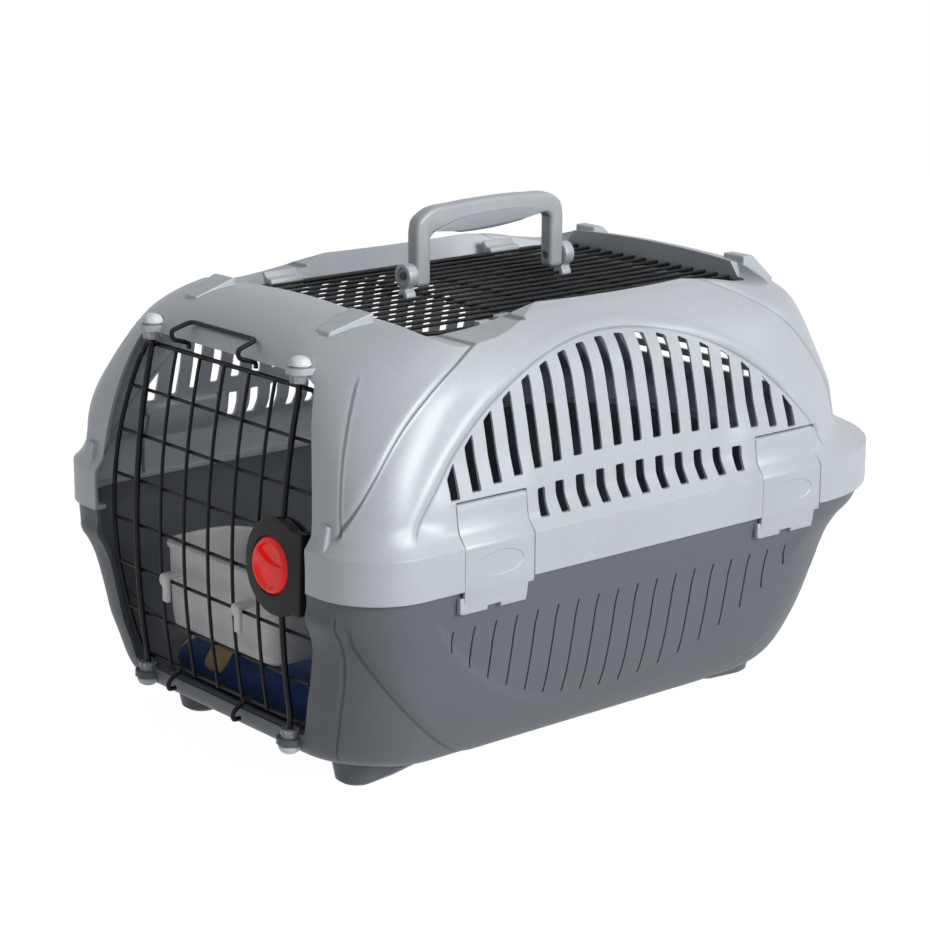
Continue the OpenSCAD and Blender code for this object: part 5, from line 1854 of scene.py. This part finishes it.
@dataclass
class Bowl:
    """The bowl that hangs on a cross wire of the door."""

    front: float = -254.2
    middle: float = 9.8
    foot: float = 79.4
    width: float = 138.0
    depth: float = 72.0
    height: float = 66.0
    hook_y: tuple[float, float] = (54.57, -34.93)
    wire: tuple[float, float] = (-263.23, 120.36)

    def plan(self, o: float, z: float) -> np.ndarray:
        """One ring of the bowl.

        Args:
            o: How far it is moved in.
            z: Its height.

        Returns:
            Its points.
        """
        w, d = self.width / 2 - o, self.depth - 2 * o
        points = []
        for cx, cy, r, start in ((d - 30, w - 30, 30, 0), (12, w - 12, 12, 90), (12, 12 - w, 12, 180),
                                 (d - 30, 30 - w, 30, 270)):
            points += [(self.front + o + cx + r * math.cos(math.radians(start + i * 9)),
                        self.middle + cy + r * math.sin(math.radians(start + i * 9)), z) for i in range(11)]
        return np.array(points)

    def build(self) -> None:
        """Makes the bowl with its rolled rim and its hooks."""
        z0, z1 = self.foot, self.foot + self.height
        outer = [(9, z0), (5.5, z0 + 0.6), (3.6, z0 + 3), (2.4, z0 + 12), (1.6, z1 - 9), (1.6, z1 - 5.4),
                 (0.3, z1 - 4.6), (0, z1 - 3), (0.5, z1 - 0.8), (1.6, z1)]
        inner = [(3.6, z1), (4.4, z1 - 1.0), (4.7, z1 - 3), (5.0, z1 - 9), (6.2, z0 + 12), (8.5, z0 + 4.6), (13, z0 + 3)]
        bowl = turn_out(loft("bowl", [self.plan(o, z) for o, z in outer + inner]))
        wx, wz = self.wire
        for y in self.hook_y:
            over = rounded(block("hook", (wx - 4.6, y - 4, wz + 1.6), (self.front + 4.2, y + 4, wz + 5.8)), 1.2, 3)
            boss = rounded(rod("boss", (wx - 5.6, y, wz + 1.2), (wx - 1.6, y, wz + 1.2), 5.2, 40), 1.4, 3)
            down = rounded(block("hook", (wx - 5.2, y - 5, wz - 15), (wx - 1.7, y + 2, wz + 2)), 1.2, 3)
            shape(bowl, Cut.JOIN, over, boss, down)
        finish(smooth(bowl, 34), "hanging_bowl", "bowl", "bowl_plastic", "food_bowl")


@dataclass
class Cushion:
    """The stuffed cushion on the floor."""

    floor: float = 18.0
    thick: float = 40.0
    cap: float = 7.0
    frames: int = 20

    def start(self) -> bpy.types.Object:
        """The slightly smaller shape from which it swells.

        Returns:
            The closed pad.
        """
        z = self.floor
        levels = [[z + 1.2, FACE_X + 70, HALF_L - 122, HALF_W - 86, 30, 54],
                  [z + 8, FACE_X + 52, HALF_L - 98, HALF_W - 69, 34, 62],
                  [z + 18, FACE_X + 38, HALF_L - 88, HALF_W - 60, 36, 66],
                  [z + 27, FACE_X + 38, HALF_L - 88, HALF_W - 60, 36, 66],
                  [z + 33, FACE_X + 56, HALF_L - 106, HALF_W - 78, 32, 60]]
        return shell_solid("cushion", levels, (0, 4), 6, RingCounts(8, 40, 20, 14))

    def swell(self, pad: bpy.types.Object) -> bpy.types.Object:
        """Fills the pad by a cloth simulation and caps how far each point moves.

        Args:
            pad: The pad.

        Returns:
            The same pad.
        """
        rest = np.array([v.co for v in pad.data.vertices])
        activate(pad)
        bpy.ops.object.modifier_add(type="CLOTH")
        cloth = pad.modifiers[-1]
        cloth.settings.quality = 4
        cloth.settings.use_pressure = True
        cloth.settings.uniform_pressure_force = 4.0
        cloth.settings.effector_weights.gravity = 0
        cloth.settings.tension_stiffness = 8
        cloth.settings.shrink_min = -0.02
        cloth.point_cache.frame_start, cloth.point_cache.frame_end = 1, self.frames
        for number in range(1, self.frames + 1):
            bpy.context.scene.frame_set(number)
        bpy.ops.object.modifier_apply(modifier=cloth.name)
        bpy.context.scene.frame_set(1)
        now = np.array([v.co for v in pad.data.vertices])
        shift = now - rest
        far = np.linalg.norm(shift, axis=1, keepdims=True)
        now = rest + shift * np.minimum(1, self.cap * MM / np.maximum(far, 1e-9))
        pad.data.vertices.foreach_set("co", now.astype(np.float32).ravel())
        pad.data.update()
        return pad

    def crease(self, pad: bpy.types.Object) -> None:
        """Adds soft folds and a seam round the edge, and keeps the pad in its space.

        Args:
            pad: The pad.
        """
        co = np.array([v.co for v in pad.data.vertices]) / MM
        x, y, z = co.T
        top = ramp(z, self.floor + 12, self.floor + 30)
        folds = 1.5 * np.sin(x / 21 + 1.8 * np.sin(y / 37)) * np.sin(y / 26 + 1.3 * np.sin(x / 43))
        folds += 0.8 * np.sin(x / 9.5 + y / 14)
        seam = np.exp(-(((z - self.floor - 22) / 1.8) ** 2))
        away = np.column_stack([x - (x.min() + x.max()) / 2, y])
        away /= np.maximum(np.linalg.norm(away, axis=1, keepdims=True), 1e-6)
        co[:, 2] += top * (folds - 1.2)
        co[:, :2] -= away * seam[:, None] * 2.2
        co[:, 2] = np.clip(co[:, 2], self.floor + 0.4, self.floor + self.thick - 0.4)
        pad.data.vertices.foreach_set("co", (co * MM).astype(np.float32).ravel())
        pad.data.update()

    def build(self) -> None:
        """Makes the cushion."""
        pad = self.start()
        modify(pad, "REMESH", mode="VOXEL", voxel_size=0.0055)
        self.swell(pad)
        modify(pad, "SUBSURF", levels=1, render_levels=1)
        self.crease(pad)
        finish(smooth(pad, 60), "stuffed_cushion", "shells", "cushion_fabric", "cushion")


# ---- stage ---------------------------------------------------------------------------------------


@dataclass
class Studio:
    """The floor, the lights and the camera."""

    azimuth: float = -40.2
    elevation: float = 14.75
    roll: float = 0.33
    aim: tuple[float, float, float] = (-0.02375, 0.0, 0.1842)
    distance: float = 1.9496
    lens: float = 36 * 2572 / 930

    def camera(self) -> None:
        """The camera at the photograph's viewing angle."""
        az, el, ro = (math.radians(a) for a in (self.azimuth, self.elevation, self.roll))
        back = Vector((math.sin(az) * math.cos(el), -math.cos(az) * math.cos(el), math.sin(el)))
        right = Vector((math.cos(az), math.sin(az), 0))
        up = back.cross(right)
        r = right * math.cos(ro) + up * math.sin(ro)
        u = up * math.cos(ro) - right * math.sin(ro)
        lens = bpy.data.cameras.new("camera")
        lens.lens, lens.sensor_width = self.lens, 36
        lens.shift_x, lens.shift_y = -7 / 930, -8 / 930
        lens.clip_start, lens.clip_end = 0.05, 50
        cam = bpy.data.objects.new("camera", lens)
        cam.matrix_world = Matrix.Translation(back * self.distance + Vector(self.aim)) @ Matrix(
            (r, u, back)).transposed().to_4x4()
        bpy.context.scene.collection.objects.link(cam)
        bpy.context.scene.camera = cam

    def lamp(self, name: str, place: Point, size: float, power: float) -> None:
        """A soft square lamp that points at the carrier.

        Args:
            name: Its name.
            place: Where it stands, in metres.
            size: Length of its side.
            power: Its power in watts.
        """
        light = bpy.data.lights.new(name, "AREA")
        light.size, light.energy = size, power
        obj = bpy.data.objects.new(name, light)
        obj.location = place
        obj.rotation_euler = (Vector((0, 0, 0.18)) - Vector(place)).to_track_quat("-Z", "Y").to_euler()
        bpy.context.scene.collection.objects.link(obj)

    def floor(self) -> None:
        """A pale floor that shows as white and keeps the shadow."""
        deselect_all()
        bpy.ops.mesh.primitive_plane_add(size=30)
        obj = bpy.context.active_object
        obj.name = "floor"
        g = Graph("pale_floor", Roughness=0.9, Specular_IOR_Level=0.1)
        g.shader.inputs["Base Color"].default_value = (0.82, 0.82, 0.83, 1)
        g.feed("Roughness", g.noise(30, 2) * 0.1 + 0.85)
        path = g.tree.nodes.new("ShaderNodeLightPath")
        seen = g.node("ShaderNodeMath", {"operation": "MAXIMUM"},
                      {0: Signal(g, path.outputs["Is Camera Ray"]), 1: Signal(g, path.outputs["Is Glossy Ray"])})
        glow = g.tree.nodes.new("ShaderNodeEmission")
        glow.inputs[1].default_value = 1.22
        blend = g.tree.nodes.new("ShaderNodeMixShader")
        output = next(n for n in g.tree.nodes if n.type == "OUTPUT_MATERIAL")
        g.tree.links.new((seen * 0.8).socket, blend.inputs[0])
        g.tree.links.new(g.shader.outputs[0], blend.inputs[1])
        g.tree.links.new(glow.outputs[0], blend.inputs[2])
        g.tree.links.new(blend.outputs[0], output.inputs[0])
        obj.data.materials.append(g.material)

    def world(self) -> None:
        """A soft grey sky that the camera sees as white."""
        world = bpy.data.worlds.new("studio")
        world.use_nodes = True
        bpy.context.scene.world = world
        nodes, links = world.node_tree.nodes, world.node_tree.links
        nodes.clear()
        soft, white = nodes.new("ShaderNodeBackground"), nodes.new("ShaderNodeBackground")
        soft.inputs[0].default_value, soft.inputs[1].default_value = (0.95, 0.97, 1.0, 1), 0.15
        white.inputs[0].default_value, white.inputs[1].default_value = (1, 1, 1, 1), 1.0
        path, mix, out = (nodes.new(f"ShaderNode{k}") for k in ("LightPath", "MixShader", "OutputWorld"))
        both = [nodes.new("ShaderNodeMath") for _ in range(2)]
        for node in both:
            node.operation = "MAXIMUM"
        links.new(path.outputs["Is Camera Ray"], both[0].inputs[0])
        links.new(path.outputs["Is Glossy Ray"], both[0].inputs[1])
        links.new(both[0].outputs[0], both[1].inputs[0])
        links.new(path.outputs["Is Transmission Ray"], both[1].inputs[1])
        links.new(both[1].outputs[0], mix.inputs[0])
        links.new(soft.outputs[0], mix.inputs[1])
        links.new(white.outputs[0], mix.inputs[2])
        links.new(mix.outputs[0], out.inputs[0])

    def build(self) -> None:
        """Sets the stage."""
        bpy.context.scene.view_settings.view_transform = "Standard"
        self.camera()
        self.floor()
        self.world()
        self.lamp("key", (0.5, -2.9, 1.45), 1.2, 66)
        self.lamp("fill", (-2.6, -0.9, 0.9), 1.4, 2)
        self.lamp("top", (0.9, -0.7, 2.6), 1.3, 9)


def dress_cad() -> None:
    """Gives every CAD node that still shows its finish."""
    slots = {part["node"]: part["material_slot"] for part in frame["record"]["subparts"]}
    for name, obj in frame["nodes"].items():
        if name in PLACED:
            continue
        material = FINISHES[slots[name]]
        if not obj.material_slots:
            obj.data.materials.append(material)
        for slot in obj.material_slots:
            slot.material = material
        LOG.info("%s keeps its CAD mesh", name)


def main() -> None:
    """Builds the carrier and its stage."""
    logging.basicConfig(level=logging.INFO, format="%(message)s")
    Studio().build()
    UpperShell().build()
    LowerShell().build()
    SideClips().build()
    Door().build()
    Lock().build()
    Caps().build()
    Lid().build()
    Handle().build()
    Bowl().build()
    Cushion().build()
    dress_cad()


if __name__ == "__main__":
    main()
